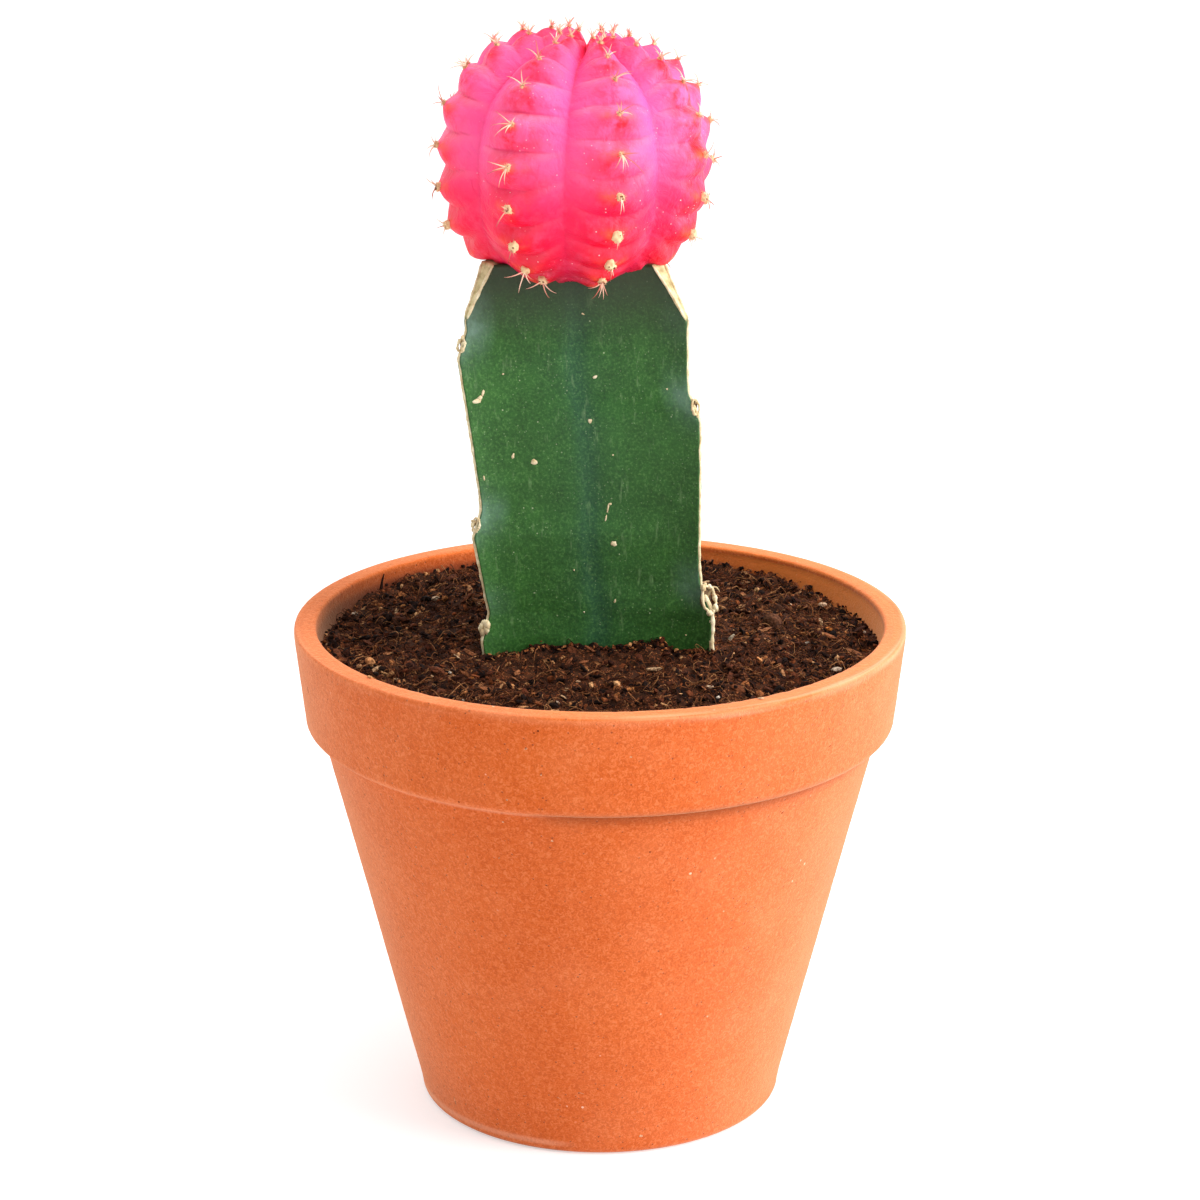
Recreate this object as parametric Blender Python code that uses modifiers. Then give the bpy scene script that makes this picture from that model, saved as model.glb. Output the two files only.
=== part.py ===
"""A potted moon cactus: a pink ball cactus grafted on a three-ribbed green stem, in a terracotta pot of soil.

Metres, +Z up. The origin is the centre of the pot's foot, on the surface that the pot stands on, and the
front of the plant faces -Y. Four pieces fit together: the pot, the soil that fills it, the rootstock that
stands in a plain hole in the soil, and the scion, whose cut underside sits on the rootstock's cut top.
"""

import math
import random

import bmesh
import bpy
from mathutils import Matrix, Vector, noise

# Clearance that touching pieces keep.
GAP = 0.0003

# Pot.
RIM_RADIUS = 0.0450
POT_HEIGHT = 0.0735
WALL = 0.0030
LIP_HEIGHT = 0.0013
BAND_LOW_RADIUS = 0.0435
BAND_LOW_Z = 0.0597
BODY_TOP_RADIUS = 0.0412
BODY_TOP_Z = 0.0580
FOOT_RADIUS = 0.0267
FOOT_ROUNDING = 0.0014
FLOOR = 0.0040
FLOOR_FILLET = 0.0025
DRAIN_RADIUS = 0.0060
POT_STEPS = 56
LIP_STEPS = 6
CORNER_STEPS = 3
BODY_SLOPE = (BODY_TOP_RADIUS - FOOT_RADIUS) / BODY_TOP_Z

# Soil.
SOIL_EDGE_Z = 0.0695
SOIL_MOUND = 0.0022
SOIL_LUMP = 0.0009
SOIL_LUMP_SIZE = 0.0065
# The lumps carry smaller ones, this many times as fine and this share as high.
SOIL_FINENESS = 2.3
SOIL_FINE_SHARE = 0.5
SOIL_STEPS = 48
SOIL_RINGS = 11
CRUMB_COUNT = 32
CRUMB_SIZE = (0.0009, 0.0019)
CRUMB_WIDTH = (0.5, 0.9)
CRUMB_THICKNESS = 0.55
CRUMB_TILT = 0.4
# Crumbs lie between these shares of the surface's area, clear of the stem and of the pot's wall.
CRUMB_BELT = (0.28, 0.86)

# Rootstock: a stem with three ribs, one to the left, one to the right and one behind.
STEM_FOOT_Z = 0.0500
STEM_TOP_Z = 0.1281
STEM_LEVEL_Z = 0.0716
STEM_LEAN = -0.068
RIB_ANGLES = (math.radians(-30), math.radians(90), math.radians(210))
RIB_REACHES = (0.0192, 0.0193, 0.0197)
MARGIN_WIDTH = 0.0009
FACE_SAG = 0.0017
# A rib's edge is widest just below each areole, falls back over a share of the way to the next one, and
# steps out again there.
CRENATION = 0.0016
CRENATION_DROP = 0.0020
CRENATION_FALL = 0.75
CRENATION_RISE = 0.0040
# Heights of the areoles down each rib, in the order of RIB_ANGLES. The first was cut away with the top.
RIB_AREOLES = (
    (0.1360, 0.1078, 0.0795),
    (0.1400, 0.1130, 0.0860),
    (0.1400, 0.1169, 0.0906, 0.0752),
)
KNOT_RADIUS = 0.0010
KNOT_STRETCH = 1.3
KNOT_SUNK = 0.3
FACE_POINTS = 7
STEM_RING_STEP = 0.0026
# The ribs' shoulders are sliced off from BEVEL_LOW_Z up to the cut top.
BEVEL_TOP_REACH = 0.0139
BEVEL_LOW_REACH = 0.0186
BEVEL_LOW_Z = 0.1195
BEVEL_BLOCK = 0.03

# Scion: a ball with eight ribs.
SCION_CENTRE = Vector((-0.0035, 0.0, 0.1419))
SCION_RADIUS = 0.0192
SCION_HALF_HEIGHT = 0.0174
SCION_SQUARENESS = 2.4
# Its upper half swells to the left, and its crown sits a little to the right.
SCION_SKEW = 0.05
CROWN_SHIFT = 0.0016
RIB_COUNT = 8
FIRST_FURROW = math.radians(-139.8)
# Furrows are deepest at the crown and die out towards the graft.
FURROW_DEPTH = 0.11
CROWN_FURROW_DEPTH = 0.20
CROWN_SPAN = math.radians(60)
BASE_FURROW_DEPTH = 0.02
BASE_FROM = math.radians(100)
BASE_SPAN = math.radians(50)
FURROW_SHAPE = 0.75
DIMPLE = 0.10
DIMPLE_SPAN = math.radians(24)
# Each areole sits just above the peak of a tubercle that swells out of its rib.
TUBERCLE = 0.038
TUBERCLE_PEAK = 0.12
TUBERCLE_SPREAD = 1.5
# A rib has this many areoles from pole to pole, and they crowd towards both ends.
AREOLE_PITCHES = 13.0
AREOLE_CROWDING = 0.16
# The first areole of each rib, in pitches from the crown.
AREOLE_STARTS = (1.21, 0.87, 1.18, 0.75, 1.30, 0.95, 1.40, 1.03)
STEPS_PER_RIB = 6
SCION_RING_STEP = math.radians(3.6)
SCION_LAST_RING = math.radians(165)
PAD_RADIUS = 0.0007
PAD_HEIGHT = 0.0005
PAD_TOP_RADIUS = 0.0004
PAD_SIDES = 5
SPINES_PER_AREOLE = 3
SPINE_RADIUS = 0.00021
SPINE_LENGTH = (0.0017, 0.0029)
SPINE_SPREAD = (math.radians(42), math.radians(64))
# Spines near the crown are young and shorter.
YOUNG_SHARE = 0.55
YOUNG_UNTIL = math.radians(50)
# Below this colatitude spines spread level at the most, because the stem's top is under them.
LOW_SPINES = math.radians(126)


def clear_scene():
    for obj in list(bpy.data.objects):
        bpy.data.objects.remove(obj)


def new_collection(name):
    made = bpy.data.collections.new(name)
    bpy.context.scene.collection.children.link(made)
    return made


def new_material(name, colour, roughness):
    made = bpy.data.materials.new(name)
    made.use_nodes = True
    shader = made.node_tree.nodes["Principled BSDF"]
    shader.inputs["Base Color"].default_value = (*colour, 1.0)
    shader.inputs["Roughness"].default_value = roughness
    shader.inputs["Metallic"].default_value = 0.0
    return made


def finish_surface(obj, surface, sharp_angle):
    """Gives an object its one material, and smooth shading up to an angle."""
    obj.data.materials.clear()
    obj.data.materials.append(surface)
    obj.data.shade_smooth()
    obj.data.set_sharp_from_angle(angle=math.radians(sharp_angle))


def add_object(name, mesh, group):
    made = bpy.data.objects.new(name, mesh)
    group.objects.link(made)
    return made


def add_shape(name, shape, group):
    """Turns a bmesh into an object."""
    mesh = bpy.data.meshes.new(name)
    shape.to_mesh(mesh)
    shape.free()
    return add_object(name, mesh, group)


def evaluated_mesh(obj):
    bpy.context.view_layer.update()
    return bpy.data.meshes.new_from_object(obj.evaluated_get(bpy.context.evaluated_depsgraph_get()))


def turned(name, profile, steps, group, closed=False):
    """A profile of (radius, height) points, turned about Z with a Screw modifier."""
    count = len(profile)
    edges = [(i, i + 1) for i in range(count - 1)]
    if closed:
        edges.append((count - 1, 0))
    mesh = bpy.data.meshes.new(name)
    mesh.from_pydata([(radius, 0.0, height) for radius, height in profile], edges, [])
    obj = add_object(name, mesh, group)
    screw = obj.modifiers.new("turn", "SCREW")
    screw.steps = steps
    screw.render_steps = steps
    screw.use_merge_vertices = True
    screw.merge_threshold = 0.00001
    return obj


def turned_and_shaped(name, profile, steps, group, reshape):
    """A turned profile whose every point is then moved by reshape(point)."""
    obj = turned(name, profile, steps, group)
    obj.data = evaluated_mesh(obj)
    obj.modifiers.clear()
    for vertex in obj.data.vertices:
        vertex.co = reshape(vertex.co.copy())
    return obj


def arc(centre, radii, start, turn, steps):
    """Points of an elliptical arc about centre, from the angle start through turn, ends included."""
    points = []
    for i in range(steps + 1):
        angle = start + turn * i / steps
        points.append((centre[0] + radii[0] * math.cos(angle), centre[1] + radii[1] * math.sin(angle)))
    return points


def fuse(obj, pieces):
    """Joins a collection of small pieces to obj with one Boolean union, and removes them."""
    join = obj.modifiers.new("fuse", "BOOLEAN")
    join.operation = "UNION"
    join.operand_type = "COLLECTION"
    join.collection = pieces
    join.solver = "MANIFOLD"
    obj.data = evaluated_mesh(obj)
    obj.modifiers.clear()
    for piece in list(pieces.objects):
        bpy.data.objects.remove(piece)
    bpy.data.collections.remove(pieces)


def cut(obj, cutter):
    """Cuts an object by a cutter, which stays as a helper."""
    cutter.hide_render = True
    cutter.display_type = "WIRE"
    trim = obj.modifiers.new("cut", "BOOLEAN")
    trim.operation = "DIFFERENCE"
    trim.object = cutter
    obj.data = evaluated_mesh(obj)
    obj.modifiers.clear()


def add_cone(name, group, sides, low_radius, high_radius, height, place):
    """A small cone or frustum whose base centre is at the origin of the matrix place."""
    shape = bmesh.new()
    bmesh.ops.create_cone(
        shape, cap_ends=True, segments=sides, radius1=low_radius, radius2=high_radius, depth=height,
        matrix=place @ Matrix.Translation((0, 0, height / 2)),
    )
    return add_shape(name, shape, group)


def add_ball(name, group, place):
    """A small round lump: an icosphere of radius 1 placed, turned and stretched by the matrix place."""
    shape = bmesh.new()
    bmesh.ops.create_icosphere(shape, subdivisions=1, radius=1.0, matrix=place)
    return add_shape(name, shape, group)


def aimed(origin, direction):
    """A matrix at origin whose Z axis points along direction."""
    return Matrix.Translation(origin) @ direction.to_track_quat("Z", "Y").to_matrix().to_4x4()


def inner_radius(height, clearance=0.0):
    """Radius of the pot's inner wall, which runs parallel to the outside of its body."""
    return FOOT_RADIUS + BODY_SLOPE * height - WALL - clearance


def pot_profile():
    """Over the lip, down the outside, in under the foot, up the drain hole and out over the floor."""
    lip_z = POT_HEIGHT - LIP_HEIGHT
    lip_inner = inner_radius(lip_z)
    lip_centre = ((RIM_RADIUS + lip_inner) / 2, lip_z)
    lip_radii = ((RIM_RADIUS - lip_inner) / 2, LIP_HEIGHT)
    step = (BAND_LOW_RADIUS - BODY_TOP_RADIUS, BAND_LOW_Z - BODY_TOP_Z)
    foot_wall = FOOT_RADIUS + BODY_SLOPE * FOOT_ROUNDING
    floor_wall = inner_radius(FLOOR + FLOOR_FILLET)
    down = -math.pi / 2
    points = arc(lip_centre, lip_radii, math.pi, -math.pi, LIP_STEPS)
    points += arc((BODY_TOP_RADIUS, BAND_LOW_Z), step, 0, down, CORNER_STEPS)
    points += arc((foot_wall - FOOT_ROUNDING, FOOT_ROUNDING), (FOOT_ROUNDING,) * 2, 0, down, CORNER_STEPS)
    points += [(DRAIN_RADIUS, 0.0), (DRAIN_RADIUS, FLOOR)]
    points += arc((floor_wall - FLOOR_FILLET, FLOOR + FLOOR_FILLET), (FLOOR_FILLET,) * 2,
                  down, -down, CORNER_STEPS)
    return points


def build_pot(group):
    pot = turned("pot", pot_profile(), POT_STEPS, group, closed=True)
    finish_surface(pot, new_material("terracotta", (0.72, 0.26, 0.10), 0.85), 35)


def soil_height(x, y):
    """The soil is mounded round the stem and lumpy all over."""
    away = min(1.0, math.hypot(x, y) / inner_radius(SOIL_EDGE_Z))
    place = Vector((x, y, 0.0)) / SOIL_LUMP_SIZE
    lumps = noise.noise(place) + SOIL_FINE_SHARE * noise.noise(SOIL_FINENESS * place)
    return SOIL_EDGE_Z + SOIL_MOUND * (1 - away**2) + SOIL_LUMP * lumps


def soil_profile():
    """Across the top from the middle, down the pot's wall and in over its floor."""
    low_z = FLOOR + GAP
    low_wall = inner_radius(low_z + FLOOR_FILLET, GAP)
    edge = inner_radius(SOIL_EDGE_Z, GAP)
    points = [(edge * i / SOIL_RINGS, SOIL_EDGE_Z) for i in range(SOIL_RINGS + 1)]
    points += arc((low_wall - FLOOR_FILLET, low_z + FLOOR_FILLET), (FLOOR_FILLET,) * 2,
                  0, -math.pi / 2, CORNER_STEPS)
    points.append((0.0, low_z))
    return points


def soil_point(point):
    """Raises the points of the soil's top to its height, and keeps them off the pot's sloping wall."""
    if point.z > SOIL_EDGE_Z - GAP:
        point.z = soil_height(point.x, point.y)
        reach = math.hypot(point.x, point.y)
        room = inner_radius(point.z, GAP)
        if reach > room:
            point.xy *= room / reach
    return point


def add_crumbs(group):
    """Bark chips and grit, sunk by half in the surface."""
    draw = random.Random(5)
    for i in range(CRUMB_COUNT):
        away = inner_radius(SOIL_EDGE_Z) * math.sqrt(draw.uniform(*CRUMB_BELT))
        angle = draw.uniform(0, 2 * math.pi)
        size = draw.uniform(*CRUMB_SIZE)
        x, y = away * math.cos(angle), away * math.sin(angle)
        spot = Matrix.Translation((x, y, soil_height(x, y)))
        turn = Matrix.Rotation(draw.uniform(0, math.pi), 4, "Z")
        tilt = Matrix.Rotation(draw.uniform(-CRUMB_TILT, CRUMB_TILT), 4, "X")
        stretch = Matrix.Diagonal((size, size * draw.uniform(*CRUMB_WIDTH), size * CRUMB_THICKNESS, 1.0))
        add_ball(f"crumb_{i}", group, spot @ turn @ tilt @ stretch)


def build_soil(group, cutters):
    soil = turned_and_shaped("soil", soil_profile(), SOIL_STEPS, group, soil_point)
    crumbs = new_collection("crumbs")
    add_crumbs(crumbs)
    fuse(soil, crumbs)
    cut(soil, add_stem_blank("soil_hole", cutters, GAP, STEM_FOOT_Z - GAP, POT_HEIGHT))
    finish_surface(soil, new_material("potting_mix", (0.055, 0.028, 0.016), 0.95), 60)


def stem_axis(height):
    return Vector((STEM_LEAN * (height - STEM_LEVEL_Z), 0.0, height))


def level(angle):
    """The level unit vector that points along an angle."""
    return Vector((math.cos(angle), math.sin(angle), 0.0))


def rib_reach(rib, height):
    """How far a rib's edge is from the stem's axis."""
    stops = (*(z - CRENATION_DROP for z in RIB_AREOLES[rib]), STEM_FOOT_Z - CRENATION_RISE)
    index = next((i for i in range(1, len(stops)) if height >= stops[i]), len(stops) - 1)
    above, below = stops[index - 1], stops[index]
    fall = min(1.0, (above - height) / (above - below) / CRENATION_FALL)
    rise = min(1.0, max(0.0, 1 - (height - below) / CRENATION_RISE))
    return RIB_REACHES[rib] - CRENATION * fall * (1 - rise)


def stem_point(turn, height, grow):
    """A point of the stem's section, which grow widens. turn gains 1 over each face, from rib to rib."""
    rib = int(turn) % 3
    half_step = 0.5 / FACE_POINTS
    along = (turn - int(turn) - half_step) / (1 - 2 * half_step)
    ends = []
    for index, side in ((rib, 1), ((rib + 1) % 3, -1)):
        outward = level(RIB_ANGLES[index])
        sideways = level(RIB_ANGLES[index] + math.pi / 2)
        ends.append(outward * (rib_reach(index, height) + 2 * grow) + sideways * side * MARGIN_WIDTH / 2)
    inward = -(ends[0] + ends[1]).normalized()
    sag = FACE_SAG * 4 * along * (1 - along)
    return ends[0].lerp(ends[1], along) + inward * sag + stem_axis(height)


def add_stem_blank(name, group, grow, low, high):
    """The ribbed stem from low to high, grown on every side. It serves as the stem and as its cutters."""
    rings = max(2, math.ceil((high - low) / STEM_RING_STEP))
    heights = [high + (low - high) * i / rings for i in range(rings + 1)]
    profile = [(0.0, high)] + [(1.0, z) for z in heights] + [(0.0, low)]

    def reshape(point):
        if math.hypot(point.x, point.y) < 0.5:
            return stem_axis(point.z)
        turn = (math.atan2(point.y, point.x) / (2 * math.pi) * 3 + 0.5 / FACE_POINTS) % 3
        return stem_point(turn, point.z, grow)

    return turned_and_shaped(name, profile, 3 * FACE_POINTS, group, reshape)


def add_bevel_blocks(cutters):
    """Three blocks that slice the ribs' shoulders off at the top, as a grafter does."""
    blocks = []
    for index, angle in enumerate(RIB_ANGLES):
        high = stem_axis(STEM_TOP_Z) + level(angle) * BEVEL_TOP_REACH
        low = stem_axis(BEVEL_LOW_Z) + level(angle) * BEVEL_LOW_REACH
        slope = (high - low).normalized()
        sideways = level(angle + math.pi / 2)
        normal = sideways.cross(slope)
        basis = Matrix((sideways, slope, normal)).transposed().to_4x4()
        centre = (high + low) / 2 + normal * BEVEL_BLOCK / 2
        shape = bmesh.new()
        bmesh.ops.create_cube(shape, size=BEVEL_BLOCK, matrix=Matrix.Translation(centre) @ basis)
        blocks.append(add_shape(f"bevel_{index}", shape, cutters))
    return blocks


def add_knots(group):
    """The corky areoles on the ribs' margins."""
    for rib, heights in enumerate(RIB_AREOLES):
        for i, height in enumerate(heights[1:]):
            reach = rib_reach(rib, height) - KNOT_SUNK * KNOT_RADIUS
            centre = stem_axis(height) + level(RIB_ANGLES[rib]) * reach
            stretch = Matrix.Diagonal((KNOT_RADIUS, KNOT_RADIUS, KNOT_STRETCH * KNOT_RADIUS, 1.0))
            add_ball(f"knot_{rib}_{i}", group, Matrix.Translation(centre) @ stretch)


def build_rootstock(group, cutters):
    rootstock = add_stem_blank("rootstock", group, 0.0, STEM_FOOT_Z, STEM_TOP_Z)
    for block in add_bevel_blocks(cutters):
        cut(rootstock, block)
    knots = new_collection("knots")
    add_knots(knots)
    fuse(rootstock, knots)
    finish_surface(rootstock, new_material("stem_green", (0.035, 0.12, 0.035), 0.5), 30)


def pitches_down(colatitude):
    """How many areole pitches lie between the crown and a colatitude."""
    crowding = AREOLE_CROWDING * math.sin(2 * colatitude) / (2 * math.pi)
    return AREOLE_PITCHES * (colatitude / math.pi + crowding)


def colatitude_at(pitches):
    """The colatitude that lies this many areole pitches from the crown, by halving the range."""
    low, high = 0.0, math.pi
    while high - low > 1e-6:
        middle = (low + high) / 2
        if pitches_down(middle) < pitches:
            low = middle
        else:
            high = middle
    return low


def envelope(azimuth, colatitude):
    """Distance from the ball's centre to its skin, before ribs and tubercles."""
    out, up = math.sin(colatitude), math.cos(colatitude)
    wide = abs(out / SCION_RADIUS) ** SCION_SQUARENESS
    tall = abs(up / SCION_HALF_HEIGHT) ** SCION_SQUARENESS
    skew = 1 - 2 * SCION_SKEW * math.cos(azimuth) * out * max(0.0, up)
    return skew * (wide + tall) ** (-1 / SCION_SQUARENESS)


def scion_point(azimuth, colatitude):
    """A point of the scion's skin. azimuth is about Z from +X, and colatitude is down from the crown."""
    turn = ((azimuth - FIRST_FURROW) / (2 * math.pi) * RIB_COUNT) % RIB_COUNT
    start = AREOLE_STARTS[int(turn) % RIB_COUNT]
    across = math.sin(math.pi * (turn % 1.0))
    crown = max(0.0, 1 - colatitude / CROWN_SPAN)
    base = min(1.0, max(0.0, colatitude - BASE_FROM) / BASE_SPAN)
    depth = FURROW_DEPTH + (CROWN_FURROW_DEPTH - FURROW_DEPTH) * crown
    depth -= (FURROW_DEPTH - BASE_FURROW_DEPTH) * base
    pitches = pitches_down(colatitude)
    wave = 2 * abs(math.cos(math.pi * (pitches - start - TUBERCLE_PEAK))) - 1
    reach = envelope(azimuth, colatitude)
    reach *= 1 - depth * (1 - across**FURROW_SHAPE)
    reach *= 1 + TUBERCLE * wave * across**TUBERCLE_SPREAD * min(1.0, pitches)
    reach *= 1 - DIMPLE * max(0.0, 1 - colatitude / DIMPLE_SPAN) ** 2
    shift = CROWN_SHIFT * ((1 + math.cos(colatitude)) / 2) ** 3
    outward = level(azimuth) * math.sin(colatitude) + Vector((0, 0, math.cos(colatitude)))
    return SCION_CENTRE + outward * reach + Vector((shift, 0, 0))


def scion_normal(azimuth, colatitude):
    step = math.radians(1.0)
    down = scion_point(azimuth, colatitude + step) - scion_point(azimuth, colatitude - step)
    round_about = scion_point(azimuth + step, colatitude) - scion_point(azimuth - step, colatitude)
    return down.cross(round_about).normalized()


def clear_of_stem(point):
    """True where an areole lies above the stem's cut top, or well outside its faces."""
    offset = point - stem_axis(STEM_TOP_Z)
    depth = max(offset.dot(level(angle + math.pi)) for angle in RIB_ANGLES)
    return offset.z > 2 * PAD_RADIUS or depth > max(RIB_REACHES) / 2 + PAD_RADIUS


def scion_areoles():
    """(azimuth, colatitude) of every areole on the ribs' crests that the graft doesn't hide."""
    places = []
    for rib, start in enumerate(AREOLE_STARTS):
        azimuth = FIRST_FURROW + (rib + 0.5) * 2 * math.pi / RIB_COUNT
        for i in range(int(AREOLE_PITCHES - start)):
            colatitude = colatitude_at(start + i)
            if clear_of_stem(scion_point(azimuth, colatitude)):
                places.append((azimuth, colatitude))
    return places


def add_spines(group):
    """At each areole a low woolly pad, and short spines that spread round the skin's normal."""
    draw = random.Random(11)
    for number, (azimuth, colatitude) in enumerate(scion_areoles()):
        normal = scion_normal(azimuth, colatitude)
        root = scion_point(azimuth, colatitude) - normal * PAD_HEIGHT / 2
        pad_place = aimed(root, normal)
        add_cone(f"pad_{number}", group, PAD_SIDES, PAD_RADIUS, PAD_TOP_RADIUS, PAD_HEIGHT, pad_place)
        turn = draw.uniform(0, 2 * math.pi)
        age = min(1.0, YOUNG_SHARE + (1 - YOUNG_SHARE) * colatitude / YOUNG_UNTIL)
        for i in range(SPINES_PER_AREOLE):
            turn += 2 * math.pi / SPINES_PER_AREOLE + draw.uniform(-0.3, 0.3)
            spread = draw.uniform(*SPINE_SPREAD)
            across = level(turn) * math.sin(spread)
            direction = pad_place.to_3x3() @ Vector((across.x, across.y, math.cos(spread)))
            if colatitude > LOW_SPINES:
                direction.z = max(direction.z, 0.0)
                direction.normalize()
            length = draw.uniform(*SPINE_LENGTH) * age + PAD_HEIGHT
            add_cone(f"spine_{number}_{i}", group, 3, SPINE_RADIUS, 0.0, length, aimed(root, direction))


def build_scion(group, cutters):
    rings = round(SCION_LAST_RING / SCION_RING_STEP)
    colatitudes = [SCION_LAST_RING * i / rings for i in range(1, rings + 1)]
    profile = [(0.0, 1.0)] + [(math.sin(c), math.cos(c)) for c in colatitudes] + [(0.0, -1.0)]

    def reshape(point):
        azimuth = math.atan2(point.y, point.x) + FIRST_FURROW
        return scion_point(azimuth, math.acos(max(-1.0, min(1.0, point.z))))

    scion = turned_and_shaped("scion", profile, RIB_COUNT * STEPS_PER_RIB, group, reshape)
    spines = new_collection("spines")
    add_spines(spines)
    fuse(scion, spines)
    seat_low = STEM_TOP_Z - SCION_HALF_HEIGHT / 2
    cut(scion, add_stem_blank("graft_seat", cutters, GAP, seat_low, STEM_TOP_Z + GAP))
    finish_surface(scion, new_material("moon_pink", (0.85, 0.06, 0.20), 0.45), 50)


def main():
    clear_scene()
    parts = new_collection("potted_moon_cactus")
    cutters = new_collection("cutters")
    build_pot(parts)
    build_soil(parts, cutters)
    build_rootstock(parts, cutters)
    build_scion(parts, cutters)


main()
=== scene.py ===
"""The looks of the potted moon cactus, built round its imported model.

Metres, +Z up, in the model's own frame: the origin is the centre of the pot's foot, and the front faces -Y.
The pot, the soil, the rootstock and the scion are each replaced by finer pieces that keep their form.
"""

import random
from math import acos, atan2, ceil, copysign, cos, dist, exp, hypot, pi, radians, sin, sqrt, tau

import bmesh
import bpy
from mathutils import Matrix, Vector
from mathutils.bvhtree import BVHTree
from mathutils.noise import fractal, noise


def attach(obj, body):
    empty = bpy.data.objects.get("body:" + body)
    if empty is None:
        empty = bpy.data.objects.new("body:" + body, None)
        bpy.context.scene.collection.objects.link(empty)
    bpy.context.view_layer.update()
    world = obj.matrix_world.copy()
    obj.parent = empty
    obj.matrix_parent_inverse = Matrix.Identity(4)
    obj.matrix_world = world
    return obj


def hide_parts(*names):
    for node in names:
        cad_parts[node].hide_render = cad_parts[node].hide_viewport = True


MM = 0.001
UP = Vector((0, 0, 1))
HALVINGS = 30

# Camera, fitted to the photograph, which is PICTURE pixels wide and high.
PICTURE = 1200
FOCAL_PIXELS = 3568.4
SENSOR_MM = 36.0
CAMERA_PLACE = Vector((0.0, -0.500, 0.2306))
CAMERA_TILT = radians(72.86)

# Light: a white tent with a dimmer open front, a faintly lit floor, and two soft lamps, to the right and
# above: name, place, width and power.
TENT_FRONT = 0.32
TENT_BACK = 1.55
LAMPS = (
    ("key", Vector((1.05, -0.27, 0.60)), 1.1, 22.0),
    ("top", Vector((0.0, -0.15, 1.1)), 0.9, 5.0),
)
LAMP_TARGET = Vector((0, 0, 0.08))
FLOOR_GREY = 0.60
FLOOR_GLOW = 0.49
FLOOR_HALF = 3.0

# The model's driving dimensions, as its source has them.
GAP = 0.0003
RIM_RADIUS = 0.0450
POT_HEIGHT = 0.0735
WALL = 0.0030
LIP_HEIGHT = 0.0013
BAND_LOW_RADIUS = 0.0435
BAND_LOW_Z = 0.0597
BODY_TOP_RADIUS = 0.0412
BODY_TOP_Z = 0.0580
FOOT_RADIUS = 0.0267
FOOT_ROUNDING = 0.0014
FLOOR = 0.0040
FLOOR_FILLET = 0.0025
DRAIN_RADIUS = 0.0060
BODY_SLOPE = (BODY_TOP_RADIUS - FOOT_RADIUS) / BODY_TOP_Z
SOIL_EDGE_Z = 0.0695
SOIL_MOUND = 0.0022
SOIL_LUMP = 0.0009
SOIL_LUMP_SIZE = 0.0065
SOIL_FINENESS = 2.3
SOIL_FINE_SHARE = 0.5
STEM_FOOT_Z = 0.0500
STEM_TOP_Z = 0.1281
STEM_LEVEL_Z = 0.0716
STEM_LEAN = -0.068
RIB_ANGLES = (radians(-30), radians(90), radians(210))
RIB_REACHES = (0.0192, 0.0193, 0.0197)
MARGIN_WIDTH = 0.0009
FACE_SAG = 0.0017
CRENATION = 0.0016
CRENATION_DROP = 0.0020
CRENATION_FALL = 0.75
CRENATION_RISE = 0.0040
RIB_AREOLES = (
    (0.1360, 0.1078, 0.0795),
    (0.1400, 0.1130, 0.0860),
    (0.1400, 0.1169, 0.0906, 0.0752),
)
BEVEL_TOP_REACH = 0.0139
BEVEL_LOW_REACH = 0.0186
BEVEL_LOW_Z = 0.1195
SCION_CENTRE = Vector((-0.0035, 0.0, 0.1419))
SCION_RADIUS = 0.0192
SCION_HALF_HEIGHT = 0.0174
SCION_SQUARENESS = 2.4
SCION_SKEW = 0.05
CROWN_SHIFT = 0.0016
RIB_COUNT = 8
FIRST_FURROW = radians(-139.8)
FURROW_DEPTH = 0.11
CROWN_FURROW_DEPTH = 0.20
CROWN_SPAN = radians(60)
BASE_FURROW_DEPTH = 0.02
BASE_FROM = radians(100)
BASE_SPAN = radians(50)
FURROW_SHAPE = 0.75
DIMPLE = 0.10
DIMPLE_SPAN = radians(24)
TUBERCLE = 0.038
TUBERCLE_PEAK = 0.12
AREOLE_PITCHES = 13.0
AREOLE_CROWDING = 0.16
AREOLE_STARTS = (1.21, 0.87, 1.18, 0.75, 1.30, 0.95, 1.40, 1.03)
PAD_RADIUS = 0.0007
SCION_LAST_RING = radians(165)

# Fineness of the pieces.
POT_COLUMNS = 380
POT_STEP = 0.00045
POT_HIDDEN_STEP = 0.0030
LIP_STEPS = 22
CORNER_STEPS = 6
SOIL_COLUMNS = 432
SOIL_ROWS = 110
STEM_FACE_COLUMNS = 76
STEM_MARGIN_COLUMNS = 5
STEM_CROWDING = 0.7
STEM_ROW = 0.0005
BALL_RIB_COLUMNS = 48
BALL_ROW = radians(0.75)
BALL_CROWDING = 0.45

# Pot: how square its lip is, how far its wall strays from a true turned shape, and where its tones lie.
LIP_INNER_SQUARENESS = 6
LIP_OUTER_SQUARENESS = 7.5
POT_WOBBLE = 0.00010
POT_WOBBLE_SIZE = 0.022
TRUE_FOOT_Z = (0.0005, 0.004)
TURNING = 0.000020
TURNING_SIZE = 0.0009
GRAIN = 0.00003
GRAIN_SIZE = 0.0011
CHIP_DEPTH = 0.00008
CHIP_SPACING = 0.0014
CHIP_REACH = (0.0010, 0.0002)
CREASE_WIDTH = 0.00025
GROG_RISE = 0.00003
# Painted shade down the pot's inner wall: none above the first height, rising to full below the second.
INNER_SHADE_Z = (POT_HEIGHT - 0.0006, SOIL_EDGE_Z + 0.0015)
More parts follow.
